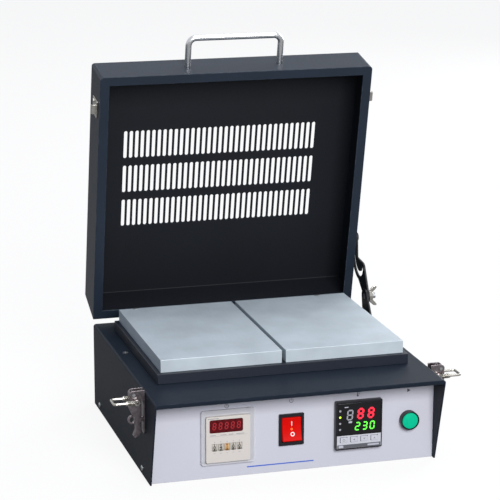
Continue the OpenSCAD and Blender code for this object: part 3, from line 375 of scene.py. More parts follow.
# the lamp itself: one orange spot
LAMP = Finish("neon lamp behind red plastic", "ff5a1c", roughness=0.4, glow="ff6a20", glow_strength=0.5,
              grain=Grain(0.001, 0.0, 0.2))
# green acrylic with a lamp inside: an even, bluish green glow
GREEN_LENS = Finish("green moulded acrylic", "00a880", roughness=0.3, gloss=0.2, glow="00d8a2",
                    glow_strength=0.22, grain=Grain(0.004, 0.0, 0.1))
# screen and pad inks: thin, matt and a little uneven
INK = print_of("dark grey screen ink", "4b4d58", tint=0.1)
BLUE_INK = print_of("blue screen ink", "3b64c8", tint=0.1)
WHITE_INK = print_of("white pad print", "f6f2ee", 0.55)
BLACK_INK = print_of("black pad print", "2a2826")
BROWN_INK = print_of("brown pad print", "8a4a12")
KEY_INK = print_of("grey key print", "8c8d94")
PALE_INK = print_of("pale lens print", "b9bac4")
# display segments and indicators: plain bars and dots, bright where lit; the timer's unlit bars carry a
# faint painted glow
MOTTLE = Grain(0.0006, 0.0, 0.1)
SEGMENT_OFF = Finish("unlit display segment", "a2a3aa", roughness=0.4, grain=MOTTLE)
SEGMENT_RED = Finish("red lit segment", "ff2a40", roughness=0.5, glow="ff2038", glow_strength=0.9,
                     grain=MOTTLE)
SEGMENT_GREEN = Finish("green lit segment", "6dff4a", roughness=0.5, glow="52f03c", glow_strength=0.85,
                       grain=MOTTLE)
SEGMENT_UNLIT_GLOW = Finish("dim red segment", "9c1c24", roughness=0.4, glow="8a141c", glow_strength=0.25,
                     grain=MOTTLE)
LED_ON = Finish("lit indicator", "c8ff3a", roughness=0.4, glow="b4f030", glow_strength=0.9,
                grain=Grain(0.001, 0.0, 0.1))


# ---- pieces


def slot_of(node: str) -> str:
    """The record's material slot of a CAD node."""
    return next(p["material_slot"] for p in frame["record"]["subparts"] if p["node"] == node)


def body_of(node: str) -> str:
    """The body that a CAD node belongs to."""
    return next(b for b, names in frame["record"]["behaviour"]["bodies"].items() if node in names)


def shade(mesh: bpy.types.Mesh, angle: float = 35.0) -> None:
    """Shades a mesh smooth, with sharp edges above an angle in degrees."""
    mesh.shade_smooth()
    mesh.set_sharp_from_angle(angle=math.radians(angle))


def paint(obj: Object, finish: Finish) -> None:
    """Gives an object one finish all over and reports it.

    Args:
        obj: the object.
        finish: the finish.
    """
    obj.data.materials.clear()
    obj.data.materials.append(finish.material())
    log.info("%s: %s", obj.name, finish.name)


def settle(obj: Object, finish: Finish, body: str) -> Object:
    """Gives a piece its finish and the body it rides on.

    Args:
        obj: the piece.
        finish: its finish.
        body: the body's name.

    Returns:
        The piece.
    """
    paint(obj, finish)
    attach(obj, body)
    return obj


def link(name: str, data: bpy.types.ID) -> Object:
    """Puts a new object with the given data in the scene.

    Args:
        name: the object's name.
        data: its mesh, curve, camera or light.

    Returns:
        The object, at the origin.
    """
    obj = bpy.data.objects.new(name, data)
    bpy.context.scene.collection.objects.link(obj)
    return obj


def from_bmesh(name: str, bm: bmesh.types.BMesh) -> Object:
    """Makes an object of a bmesh, with its faces outward.

    Args:
        name: name of the object and of its mesh.
        bm: the bmesh, which is freed.

    Returns:
        The object.
    """
    bmesh.ops.recalc_face_normals(bm, faces=bm.faces)
    mesh = bpy.data.meshes.new(name)
    bm.to_mesh(mesh)
    bm.free()
    return link(name, mesh)


def bake_modifiers(obj: Object) -> None:
    """Replaces an object's mesh by its evaluated mesh and drops its modifiers.

    Args:
        obj: the object.
    """
    graph = bpy.context.evaluated_depsgraph_get()
    mesh = bpy.data.meshes.new_from_object(obj.evaluated_get(graph))
    mesh.name = obj.name
    obj.modifiers.clear()
    obj.data = mesh


def dress(node: str, finish: Finish) -> None:
    """Gives a CAD node's own mesh a finish."""
    paint(frame["nodes"][node], finish)


# points nearer than WELD are one point, faces within FLAT_ANGLE are one face,
# and an edge sharper than ROUNDED_ANGLE is rounded
WELD = 2e-6
FLAT_ANGLE = math.radians(0.8)
ROUNDED_ANGLE = math.radians(38)


def soften(node: str, name: str, finish: Finish, edge: Edge, segments: int = 2,
           split: bool = False) -> Object:
    """Stands a copy with rounded edges in for a CAD node.

    Args:
        node: the CAD node.
        name: the new piece's name.
        finish: its finish.
        edge: how far its edges are rounded.
        segments: steps in the rounding.
        split: cuts the flat faces into triangles first. A face with a hole and a narrow rim
            needs it, or the rounding folds the face over its hole.

    Returns:
        The new piece.
    """
    bm = bmesh.new()
    bm.from_mesh(frame["nodes"][node].data)
    bmesh.ops.remove_doubles(bm, verts=bm.verts, dist=WELD)
    bmesh.ops.dissolve_degenerate(bm, dist=WELD, edges=bm.edges)
    bmesh.ops.dissolve_limit(bm, angle_limit=FLAT_ANGLE, verts=bm.verts, edges=bm.edges)
    if split:
        bmesh.ops.triangulate(bm, faces=[face for face in bm.faces if len(face.verts) > 4])
    obj = from_bmesh(name, bm)
    bevel = obj.modifiers.new("edges", "BEVEL")
    bevel.width = edge.value
    bevel.segments = segments
    bevel.limit_method = "ANGLE"
    bevel.angle_limit = ROUNDED_ANGLE
    bevel.use_clamp_overlap = False
    shade(obj.data)
    level = obj.modifiers.new("flat faces", "WEIGHTED_NORMAL")
    level.weight = 100
    level.keep_sharp = True
    bake_modifiers(obj)
    settle(obj, finish, body_of(node))
    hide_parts(node)
    return obj


@dataclass
class Stencil:
    """Flat marks on a face that looks toward -Y, drawn in millimetres of X and Z.

    Attributes:
        x: X of the drawing's origin in metres.
        z: Z of the drawing's origin in metres.
        y: Y of the face in metres.
        lift: thickness of the marks in metres.
        strips: rings and arcs: inner line, outer line and whether they close.
        plates: polygons.
    """

    x: float
    z: float
    y: float
    lift: float = 0.00008
    strips: list[tuple[list[Point], list[Point], bool]] = field(default_factory=list)
    plates: list[list[Point]] = field(default_factory=list)

    def bar(self, x0: float, z0: float, x1: float, z1: float) -> "Stencil":
        """Adds a rectangle."""
        return self.plate([(x0, z0), (x1, z0), (x1, z1), (x0, z1)])

    def plate(self, points: Sequence[Point]) -> "Stencil":
        """Adds a polygon."""
        self.plates.append(list(points))
        return self

    def disc(self, x: float, z: float, r: float, count: int = 24) -> "Stencil":
        """Adds a disc."""
        turns = [2 * math.pi * i / count for i in range(count)]
        return self.plate([(x + r * math.cos(t), z + r * math.sin(t)) for t in turns])

    def ring(self, x: float, z: float, r: float, width: float, start: float = 0,
             end: float = 360) -> "Stencil":
        """Adds a ring or an arc.

        Args:
            x: middle, across.
            z: middle, upwards.
            r: radius of its middle line.
            width: width of the line.
            start: angle in degrees where it begins.
            end: angle in degrees where it ends.

        Returns:
            The drawing itself.
        """
        count = 36
        closed = end - start >= 360
        points = count if closed else count + 1
        turns = [math.radians(start + (end - start) * i / count) for i in range(points)]
        radii = (r - width / 2, r + width / 2)
        inner, outer = [[(x + q * math.cos(t), z + q * math.sin(t)) for t in turns] for q in radii]
        self.strips.append((inner, outer, closed))
        return self

    def make(self, name: str, finish: Finish, body: str, slot: str) -> Object:
        """Turns the marks into one piece.

        Args:
            name: the piece's name.
            finish: its finish.
            body: the body it rides on.
            slot: its material slot; not used.

        Returns:
            The piece.
        """
        bm = bmesh.new()
        levels = (self.y, self.y - self.lift)

        def put(p: Point, level: float) -> bmesh.types.BMVert:
            """A vertex at a point of the drawing."""
            return bm.verts.new((self.x + p[0] * MM, level, self.z + p[1] * MM))

        for points in self.plates:
            back, front = [[put(p, level) for p in points] for level in levels]
            bm.faces.new(back)
            bm.faces.new(list(reversed(front)))
            for i in range(len(points)):
                j = (i + 1) % len(points)
                bm.faces.new((back[i], front[i], front[j], back[j]))
        for inner, outer, closed in self.strips:
            grid = [[put(p, level) for p in loop] for level in levels for loop in (inner, outer)]
            count = len(inner)
            for i in range(count if closed else count - 1):
                j = (i + 1) % count
                for a, b in ((0, 1), (1, 3), (3, 2), (2, 0)):
                    bm.faces.new((grid[a][i], grid[b][i], grid[b][j], grid[a][j]))
            if not closed:
                for i in (0, count - 1):
                    bm.faces.new([grid[k][i] for k in (0, 1, 3, 2)])
        return settle(from_bmesh(name, bm), finish, body)


SEGMENTS = {"0": "abcdef", "1": "bc", "2": "abdeg", "3": "abcdg", "4": "bcfg", "5": "acdfg", "6": "acdefg",
            "7": "abc", "8": "abcdefg", "9": "abcdfg", " ": ""}
# gap between two bars as a share of their thickness, and how far a digit leans over its height
SEGMENT_GAP = 0.12
SEGMENT_SLANT = 0.1


def segment_outline(key: str, w: float, h: float, t: float) -> list[Point]:
    """Outline of one bar of a seven-segment digit with its lower left corner at the origin.

    Args:
        key: a to g.
        w: the digit's width.
        h: the digit's height.
        t: a bar's thickness.

    Returns:
        Six points in millimetres.
    """
    gap, half = t * SEGMENT_GAP, t / 2
    if key in "adg":
        z = {"a": h - half, "d": half, "g": h / 2}[key]
        x0, x1 = half + gap, w - half - gap
        pts = [(x0, z), (x0 + half, z - half), (x1 - half, z - half),
               (x1, z), (x1 - half, z + half), (x0 + half, z + half)]
    else:
        x = w - half if key in "bc" else half
        z0, z1 = (h / 2 + gap, h - half - gap) if key in "bf" else (half + gap, h / 2 - gap)
        pts = [(x, z0), (x + half, z0 + half), (x + half, z1 - half),
               (x, z1), (x - half, z1 - half), (x - half, z0 + half)]
    return [(px + pz * SEGMENT_SLANT, pz) for px, pz in pts]


@dataclass
class Readout:
    """A row of seven-segment digits.

    Attributes:
        name: start of its pieces' names.
        text: the digits.
        x: left end, metres.
        z: foot of the digits, metres.
        y: face they lie on, metres.
        height: digit height, millimetres.
        pitch: distance between digits, millimetres.
        on: finish of lit bars.
        wide: a digit's width as a share of its height.
        thick: a bar's thickness as a share of its height.
    """

    name: str
    text: str
    x: float
    z: float
    y: float
    height: float
    pitch: float
    on: Finish
    wide: float = 0.5
    thick: float = 0.13

    def build(self, off: Finish | None, slot: str) -> None:
        """Makes the lit bars and, with a finish for them, the unlit ones.

        Args:
            off: finish of the unlit bars, or None to leave them out.
            slot: material slot of both pieces.
        """
        w, t = self.height * self.wide, self.height * self.thick
        lit, dark = Stencil(self.x, self.z, self.y), Stencil(self.x, self.z, self.y)
        for i, char in enumerate(self.text):
            for key in "abcdefg":
                pts = [(x + i * self.pitch, z) for x, z in segment_outline(key, w, self.height, t)]
                (lit if key in SEGMENTS[char] else dark).plate(pts)
        if lit.plates:
            lit.make(self.name + "_lit", self.on, "base", slot)
        if off and dark.plates:
            dark.make(self.name + "_unlit", off, "base", slot)


# ---- geometry nodes


@dataclass
class Repeater:
    """A Geometry Nodes tree that makes one repeated form.

    Attributes:
        name: name of the tree and of its piece.
        sizes: named inputs of the tree with their values.
        draw: builds the nodes and returns the geometry socket.
    """

    name: str
    sizes: dict[str, float]
    draw: Callable[[Tree, dict[str, Socket]], Socket]

    def make(self, finish: Finish) -> Object:
        """Builds the tree, runs it and keeps what it makes.

        Args:
            finish: finish of what it makes.

        Returns:
            A plain mesh object at the origin, with no modifier left.
        """
        tree = bpy.data.node_groups.new(self.name, "GeometryNodeTree")
        tree.interface.new_socket("Geometry", in_out="OUTPUT", socket_type="NodeSocketGeometry")
        ids = {}
        for key in self.sizes:
            made = tree.interface.new_socket(key, in_out="INPUT", socket_type="NodeSocketFloat")
            ids[key] = made.identifier
        entry, leave = tree.nodes.new("NodeGroupInput"), tree.nodes.new("NodeGroupOutput")
        shape = self.draw(tree, {key: entry.outputs[key] for key in self.sizes})
        real = add_node(tree, "GeometryNodeRealizeInstances", inputs={"Geometry": shape})
        coat = add_node(tree, "GeometryNodeSetMaterial", inputs={
            "Geometry": real.outputs[0], "Material": finish.material()})
        tree.links.new(coat.outputs[0], leave.inputs[0])
        obj = link(self.name, bpy.data.meshes.new(self.name))
        modifier = obj.modifiers.new("repeat", "NODES")
        modifier.node_group = tree
        for key, value in self.sizes.items():
            modifier[ids[key]] = value
        bake_modifiers(obj)
        return obj


def helix_tree(tree: Tree, size: dict[str, Socket]) -> Socket:
    """A wire wound along Z from the origin.

    Args:
        tree: the tree that gets the nodes.
        size: its inputs turns, radius, length and wire.

    Returns:
        The socket of the geometry.
    """
    coil = add_node(tree, "GeometryNodeCurveSpiral", inputs={
        "Resolution": 20, "Rotations": size["turns"], "Start Radius": size["radius"],
        "End Radius": size["radius"], "Height": size["length"]})
    wire = add_node(tree, "GeometryNodeCurvePrimitiveCircle", inputs={
        "Resolution": 8, "Radius": size["wire"]})
    tube = add_node(tree, "GeometryNodeCurveToMesh", inputs={
        "Curve": coil.outputs[0], "Profile Curve": wire.outputs[0], "Fill Caps": True})
    return tube.outputs[0]


def ribs_tree(tree: Tree, size: dict[str, Socket]) -> Socket:
    """Bars round a circle in the XY plane, their length along Z.

    Args:
        tree: the tree that gets the nodes.
        size: its inputs count, radius, thick and length.

    Returns:
        The socket of the geometry.
    """
    ring = add_node(tree, "GeometryNodeMeshCircle", inputs={
        "Vertices": size["count"], "Radius": size["radius"]})
    bar = add_node(tree, "GeometryNodeMeshCylinder", inputs={
        "Vertices": 8, "Radius": size["thick"], "Depth": size["length"]})
    bars = add_node(tree, "GeometryNodeInstanceOnPoints", inputs={
        "Points": ring.outputs[0], "Instance": bar.outputs[0]})
    return bars.outputs[0]


def row_tree(tree: Tree, size: dict[str, Socket]) -> Socket:
    """Round studs in a row along X, their length along Z.

    Args:
        tree: the tree that gets the nodes.
        size: its inputs count, pitch, radius and depth.

    Returns:
        The socket of the geometry.
    """
    offset = add_node(tree, "ShaderNodeCombineXYZ", inputs={"X": size["pitch"]})
    row = add_node(tree, "GeometryNodeMeshLine", inputs={
        "Count": size["count"], "Offset": offset.outputs[0]})
    stud = add_node(tree, "GeometryNodeMeshCylinder", inputs={
        "Vertices": 20, "Radius": size["radius"], "Depth": size["depth"]})
    studs = add_node(tree, "GeometryNodeInstanceOnPoints", inputs={
        "Points": row.outputs[0], "Instance": stud.outputs[0]})
    return studs.outputs[0]


def moved(obj: Object, matrix: Matrix) -> Object:
    """Moves an object's mesh, and leaves the object at the origin."""
    obj.data.transform(matrix)
    return obj


def joined(name: str, objs: Iterable[Object]) -> Object:
    """Joins the meshes of several objects in one new object.

    Args:
        name: the new object's name.
        objs: the objects, which are removed.

    Returns:
        The new object.
    """
    bm = bmesh.new()
    for obj in objs:
        bm.from_mesh(obj.data)
        bpy.data.objects.remove(obj)
    return from_bmesh(name, bm)


TO_MINUS_Y = Matrix.Rotation(math.radians(90), 4, "X")


# ---- sub-assemblies


@dataclass
class Casing:
    """The sheet-metal case: cover, chassis, screws and what is fixed inside and behind it.

    Attributes:
        gland_x: X of the cable gland's axis.
        gland_z: Z of the cable gland's axis.
        gland_y: Y of the middle of its ribs.
        screws_at: middle of the terminal block's first screw.
    """

    gland_x: float = -0.110
    gland_z: float = 0.030
    gland_y: float = 0.1515
    screws_at: tuple[float, float, float] = (-0.055, 0.0855, 0.0112)

    def build(self) -> None:
        """Makes the case's pieces."""
        soften("outer_cover", "case_cover", CASE_COAT, Edge.SHEET)
        for part in ("chassis", "front_panel", "back_panel"):
            soften(part, f"case_{part}", PANEL_COAT, Edge.FINE)
        dress("case_screws", STEEL)
        dress("relay", BLACK_ABS)
        soften("terminal_block", "terminal_body", CREAM, Edge.FINE)
        screws = Repeater("terminal_screws", {
            "count": 8, "pitch": 0.010, "radius": 0.0024, "depth": 0.003}, row_tree).make(STEEL)
        moved(screws, Matrix.Translation(self.screws_at))
        settle(screws, STEEL, "base")
        soften("cable_gland", "gland_body", BLACK_ABS, Edge.FINE)
        soften("gland_nut", "gland_locknut", BLACK_ABS, Edge.FINE)
        ribs = Repeater("gland_ribs", {
            "count": 24, "radius": 0.0096, "thick": 0.0005, "length": 0.005}, ribs_tree).make(BLACK_ABS)
        moved(ribs, Matrix.Translation((self.gland_x, self.gland_y, self.gland_z)) @ TO_MINUS_Y)
        settle(ribs, BLACK_ABS, "base")


@dataclass
class HeatingBed:
    """The plates, their collar, clips, elements and insulation."""

    def build(self) -> None:
        """Makes the bed's pieces."""
        soften("heater_collar", "bed_collar", COLLAR_COAT, Edge.SHEET)
        for side in Side:
            soften(f"heating_plate_{side.word}", f"bed_plate_{side.word}", PLATE, Edge.SHEET)
        soften("plate_clips", "bed_clips", STEEL, Edge.FINE)
        plain = {"heater_elements": MICA, "clamp_plates": ZINC_SHEET, "clamp_studs": STEEL,
                 "thermocouple": STEEL, "heater_tray": ZINC_SHEET, "insulation_pad": FIBRE}
        for node, finish in plain.items():
            dress(node, finish)


@dataclass
class Timer:
    """The timer: cream face, red window, number wheels and clear guard frame.

    Attributes:
        face_y: Y of its face.
        wheel_pitch: distance between wheels, millimetres.
        wheel_x: X of the middle wheel from the timer's middle, millimetres.
        wheel_y: Y of the wheels' axis.
        wheel_z: Z of the wheels' axis.
        wheel_r: a wheel's radius.
        digit_h: height of a number.
        digit_bold: how far its strokes are widened.
        font_share: font size as a share of the number's height.
        cuts: cuts across a number on each side of its middle.
        ink_gap: gap under the ink.
        ink_lift: thickness of the ink.
        shown: the number that each wheel shows.
        amber: the wheel that is amber.
    """

    face_y: float = PANEL_Y - BEZEL_OUT
    wheel_pitch: float = 6.25
    wheel_x: float = -1.2
    wheel_y: float = PANEL_Y - BEZEL_OUT + 0.0055
    wheel_z: float = TIMER_Z - 0.0078
    wheel_r: float = 0.0055
    digit_h: float = 0.0033
    digit_bold: float = 0.00013
    font_share: float = 1.4
    cuts: int = 3
    ink_gap: float = 0.00004
    ink_lift: float = 0.00003
    shown: tuple[int, ...] = (0, 4, 1, 0, 0)
    amber: int = 3

    def build(self) -> None:
        """Makes the timer's pieces."""
        soften("timer_case", "timer_face", CREAM, Edge.FINE)
        soften("timer_guard", "timer_frame", FROST, Edge.SHEET)
        soften("timer_window", "timer_filter", RED_GLASS, Edge.CRISP)
        # five blank digits, so that every bar of them is unlit; these unlit bars carry a faint painted glow
        digits = Readout("timer_digits", " " * 5, TIMER_X - 0.0159, TIMER_Z + 0.0100, self.face_y + 0.0006,
                         height=7.4, pitch=6.1, on=SEGMENT_UNLIT_GLOW)
        digits.build(SEGMENT_UNLIT_GLOW, slot_of("timer_window"))
        marks = Stencil(TIMER_X, TIMER_Z, self.face_y)
        for wheel in range(1, 6):
            x = self.wheel_x + (wheel - 3) * self.wheel_pitch
            finish = WHEEL_AMBER if wheel == self.amber else WHEEL
            soften(f"timer_wheel_{wheel}", f"wheel_{wheel}_drum", finish, Edge.HAIR, split=True)
            self._numbers(wheel, Vector((TIMER_X + x * MM, self.wheel_y, self.wheel_z)))
            marks.bar(x - 0.9, -13.9, x + 0.9, -13.6)
            marks.plate([(x - 0.6, -2.4), (x + 0.6, -2.4), (x, -1.6)])
        marks.bar(-19, 3.6, 19, 3.75)
        for x0, x1 in ((-18, -12.5), (-8, -2), (0.5, 5.0), (8, 16)):
            marks.bar(x0, 4.5, x1, 5.0)
        marks.bar(-20.5, 21.4, -9.5, 22.0)
        marks.make("timer_print", KEY_INK, "base", slot_of("timer_case"))

    def _numbers(self, wheel: int, middle: Vector) -> None:
        """Prints 0 to 9 round one wheel's drum.

        Args:
            wheel: number of the wheel, from 1.
            middle: middle of the wheel.
        """
        bm = bmesh.new()
        r = self.wheel_r + self.ink_gap
        for n in range(10):
            part = self._number(n)
            turn = 2 * math.pi * (n - self.shown[wheel - 1]) / 10
            for v in part.verts:
                a = turn + v.co.y / r
                v.co = middle + Vector((v.co.x, -r * math.cos(a), r * math.sin(a)))
            flat = bpy.data.meshes.new("number")
            part.to_mesh(flat)
            part.free()
            bm.from_mesh(flat)
            bpy.data.meshes.remove(flat)
        raised = bmesh.ops.extrude_face_region(bm, geom=bm.faces[:])
        for v in [g for g in raised["geom"] if isinstance(g, bmesh.types.BMVert)]:
            away = Vector((0, v.co.y - middle.y, v.co.z - middle.z)).normalized()
            v.co += away * self.ink_lift
        obj = from_bmesh(f"wheel_{wheel}_numbers", bm)
        ink = BROWN_INK if wheel == self.amber else BLACK_INK
        settle(obj, ink, f"wheel_{wheel}")

    def _number(self, n: int) -> bmesh.types.BMesh:
        """Draws one flat number round the origin, cut across so that it can bend.

        Args:
            n: the number, 0 to 9.

        Returns:
            Its mesh, which the caller frees.
        """
        curve = bpy.data.curves.new("number", "FONT")
        curve.body = str(n)
        curve.size = self.digit_h * self.font_share
        curve.offset = self.digit_bold
        curve.align_x, curve.align_y = "CENTER", "CENTER"
        curve.resolution_u = 3
        text = link("number", curve)
        flat = bpy.data.meshes.new_from_object(text.evaluated_get(bpy.context.evaluated_depsgraph_get()))
        bpy.data.objects.remove(text)
        part = bmesh.new()
        part.from_mesh(flat)
        bpy.data.meshes.remove(flat)
        for k in range(-self.cuts, self.cuts + 1):
            bmesh.ops.bisect_plane(part, geom=part.verts[:] + part.edges[:] + part.faces[:],
                                   plane_co=(0, k * self.digit_h / (2 * self.cuts), 0), plane_no=(0, 1, 0))
        return part


@dataclass
class PowerSwitch:
    """The red rocker switch with its I and O.

    Attributes:
        tilt: turn of the rocker about X at rest.
        pivot: middle of its axis.
        hollow_r: radius of its hollow face.
        hollow_y: Y of the deepest line of that face from the pivot.
        lift: how far the marks stand off the face.
    """

    tilt: float = math.radians(-9)
    pivot: Vector = field(default_factory=lambda: Vector((ROCKER_X, -0.113, 0.043)))
    hollow_r: float = 0.040
    hollow_y: float = -0.003
    lift: float = 0.00002

    def build(self) -> None:
        """Makes the switch's pieces."""
        soften("rocker_housing", "switch_housing", BLACK_ABS, Edge.FINE)
        soften("rocker", "switch_rocker", ROCKER_RED, Edge.SOFT, 3)
        self._mark("switch_on_mark", WHITE_INK, Stencil(0, 0, 0).bar(-0.4, 3.4, 0.4, 8.0))
        self._mark("switch_off_mark", WHITE_INK, Stencil(0, 0, 0).ring(0.5, -4.8, 1.7, 0.9))
        self._mark("switch_lamp", LAMP, Stencil(0, 0, 0).disc(-0.1, 0.2, 1.2))

    def _mark(self, name: str, finish: Finish, marks: Stencil) -> None:
        """Wraps flat marks onto the rocker's hollow face.

        Args:
            name: the piece's name.
            finish: its finish.
            marks: the marks, drawn round the rocker's middle.
        """
        obj = marks.make(name, finish, "rocker", slot_of("rocker"))
        turn = Matrix.Translation(self.pivot) @ Matrix.Rotation(self.tilt, 4, "X")
        for v in obj.data.vertices:
            sag = self.hollow_r - math.sqrt(self.hollow_r**2 - v.co.z**2)
            v.co.y += self.hollow_y - sag - self.lift
        obj.data.transform(turn)


# marks of the second to the fourth key: left, down and up
ARROWS = ([(1.0, 1.1), (-1.0, 0), (1.0, -1.1)],
          [(-1.2, 0.8), (0, -1.0), (1.2, 0.8)],
          [(-1.2, -0.8), (1.2, -0.8), (0, 1.0)])


@dataclass
class Controller:
    """The temperature controller: case, lens, lit digits, indicators and keys.

    Attributes:
        face_y: Y of the face round the lens.
        lens_y: Y that the digits and the indicators stand on.
        key_pitch: distance between keys.
        key_z: Z of the row of keys.
        key_out: how far the keys stand out of the face.
        lamp_x: X of the indicators.
        lamp_rows: Z of each indicator, millimetres.
        lamp_on: which of them is lit, from 0.
    """

    face_y: float = PANEL_Y - BEZEL_OUT
    lens_y: float = PANEL_Y - BEZEL_OUT + 0.0004
    key_pitch: float = 0.0106
    key_z: float = DEVICE_Z - 0.0136
    key_out: float = 0.0007
    lamp_x: float = 0.0452
    lamp_rows: tuple[float, ...] = (58.4, 51.9, 45.5, 39.2)
    lamp_on: int = 1

    def build(self) -> None:
        """Makes the controller's pieces."""
        soften("controller_case", "controller_body", BLACK_ABS, Edge.SHEET)
        soften("controller_lens", "controller_window", SMOKE, Edge.CRISP)
        soften("key_strip", "controller_strip", KEY_FILM, Edge.CRISP)
        # name, text, x, z, digit height, pitch, lit finish, bar thickness, unlit finish
        digits = (("spare_digit", " ", -0.0133, 0.0482, 10.8, 10.6, SEGMENT_RED, 0.13, SEGMENT_OFF),
                  ("actual_heat", "88", -0.0025, 0.0486, 11.4, 10.8, SEGMENT_RED, 0.17, None),
                  ("set_heat", "230", -0.0046, 0.0372, 8.6, 7.6, SEGMENT_GREEN, 0.14, None))
        for name, text, x, z, height, pitch, on, thick, off in digits:
            digit = Readout(name, text, CONTROLLER_X + x, z, self.lens_y, height, pitch, on, 0.6, thick)
            digit.build(off, slot_of("controller_lens"))
        lamps = {lit: Stencil(self.lamp_x, 0, self.lens_y) for lit in (True, False)}
        for i, z in enumerate(self.lamp_rows):
            lamps[i == self.lamp_on].disc(0, z, 1.1)
        lamps[True].make("indicator_lit", LED_ON, "base", slot_of("controller_lens"))
        lamps[False].make("indicators_unlit", SEGMENT_OFF, "base", slot_of("controller_lens"))
        prints = (("band", self.face_y + 0.0002, KEY_BAND, "key_strip", [(-22.4, 19.6, 22.4, 23.4)]),
                  ("tags", self.face_y + 0.0001, PALE_INK, "key_strip",
                   [(-21.0, 20.3, -16.2, 22.8), (9.0, 20.6, 21.0, 22.4)]),
                  ("print", self.lens_y, PALE_INK, "controller_lens",
                   [(-15.2, 61.4, -11.4, 62.3), (-10.9, 45.4, -7.4, 47.2)]))
        for name, y, finish, node, bars in prints:
            marks = Stencil(CONTROLLER_X, 0, y)
            for corners in bars:
                marks.bar(*corners)
            marks.make(f"controller_{name}", finish, "base", slot_of(node))
        for i in range(4):
            node = f"controller_key_{i + 1}"
            soften(node, f"key_{i + 1}_cap", KEY_FILM, Edge.FINE)
            x = CONTROLLER_X + (i - 1.5) * self.key_pitch
            mark = Stencil(x, self.key_z, self.face_y - self.key_out)
            if i == 0:
                mark.ring(0, 0, 1.1, 0.4)
            else:
                mark.plate(ARROWS[i - 1])
            mark.make(f"key_{i + 1}_mark", KEY_INK, f"key_{i + 1}", slot_of(node))


@dataclass
class StartButton:
    """The green push button with a domed lens.

    Attributes:
        lens_r: radius of the lens.
        front: Y of the flat face under the dome.
        rise: height of the dome.
        inset: distance of its rim from the lens's edge.
        sink: how far its rim is sunk into the face.
        rings: steps from the rim to the tip.
        sides: steps round the dome.
    """

    lens_r: float = 0.0079
    front: float = PANEL_Y - 0.0063
    rise: float = 0.0009
    inset: float = 0.0002
    sink: float = 0.00005
    rings: int = 8
    sides: int = 48

    def build(self) -> None:
        """Makes the button's pieces."""
        soften("button_bezel", "start_ring", BLACK_ABS, Edge.FINE, split=True)
        dress("button_nut", BLACK_ABS)
        dress("contact_block", BLACK_ABS)
        dress("start_button", GREEN_LENS)
        bm = bmesh.new()
        turns = [2 * math.pi * k / self.sides for k in range(self.sides)]
        rows = []
        for i in range(self.rings):
            r = (self.lens_r - self.inset) * (1 - i / self.rings)
            y = self.front + self.sink - self.rise * (1 - (r / self.lens_r) ** 2)
            rows.append([bm.verts.new((BUTTON_X + r * math.cos(t), y, DEVICE_Z + r * math.sin(t)))
                         for t in turns])
        tip = bm.verts.new((BUTTON_X, self.front - self.rise, DEVICE_Z))
        for a, b in zip(rows, rows[1:]):
            for k in range(self.sides):
                j = (k + 1) % self.sides
                bm.faces.new((a[k], a[j], b[j], b[k]))
        for k in range(self.sides):
            bm.faces.new((rows[-1][k], rows[-1][(k + 1) % self.sides], tip))
        bm.faces.new(list(reversed(rows[0])))
        dome = from_bmesh("start_dome", bm)
        shade(dome.data)
        settle(dome, GREEN_LENS, "start")


@dataclass
class PanelPrint:
    """Small pictograms above the controls and a thin rule, in screen ink.

    Attributes:
        row_z: Z of the pictograms over the switch and the button.
        raised_z: Z of those over the timer and the controller.
        ring_r: radius of a round pictogram, millimetres.
        line: width of its line, millimetres.
    """

    row_z: float = 0.0720
    raised_z: float = 0.0724
    ring_r: float = 1.9
    line: float = 0.45

    def build(self) -> None:
        """Prints the panel."""
        clock = Stencil(TIMER_X, self.raised_z, PANEL_Y)
        clock.ring(0, 0, self.ring_r, self.line).bar(-0.2, -0.1, 0.2, 1.4).bar(0.0, -0.2, 1.1, 0.2)
        power = Stencil(ROCKER_X, self.row_z, PANEL_Y)
        power.ring(0, 0, self.ring_r, self.line, 125, 415).bar(-0.22, 0.2, 0.22, 2.6)
        heat = Stencil(CONTROLLER_X, self.raised_z, PANEL_Y)
        heat.disc(0, -1.2, 1.0).bar(-0.4, -0.9, 0.4, 2.4)
        for i in range(3):
            heat.bar(1.0, 0.1 + i * 0.9, 2.2, 0.4 + i * 0.9)
        start = Stencil(BUTTON_X, self.row_z, PANEL_Y)
        start.plate([(-1.6, -1.9), (2.0, 0), (-1.6, 1.9)])
        for name, marks in (("clock", clock), ("power", power), ("heat", heat), ("start", start)):
            marks.make(f"print_{name}", INK, "base", slot_of("front_panel"))
        rule = Stencil(0, 0.0082, PANEL_Y)
        rule.bar(-48, -0.6, 20, 0.6)
        rule.make("print_rule", BLUE_INK, "base", slot_of("front_panel"))


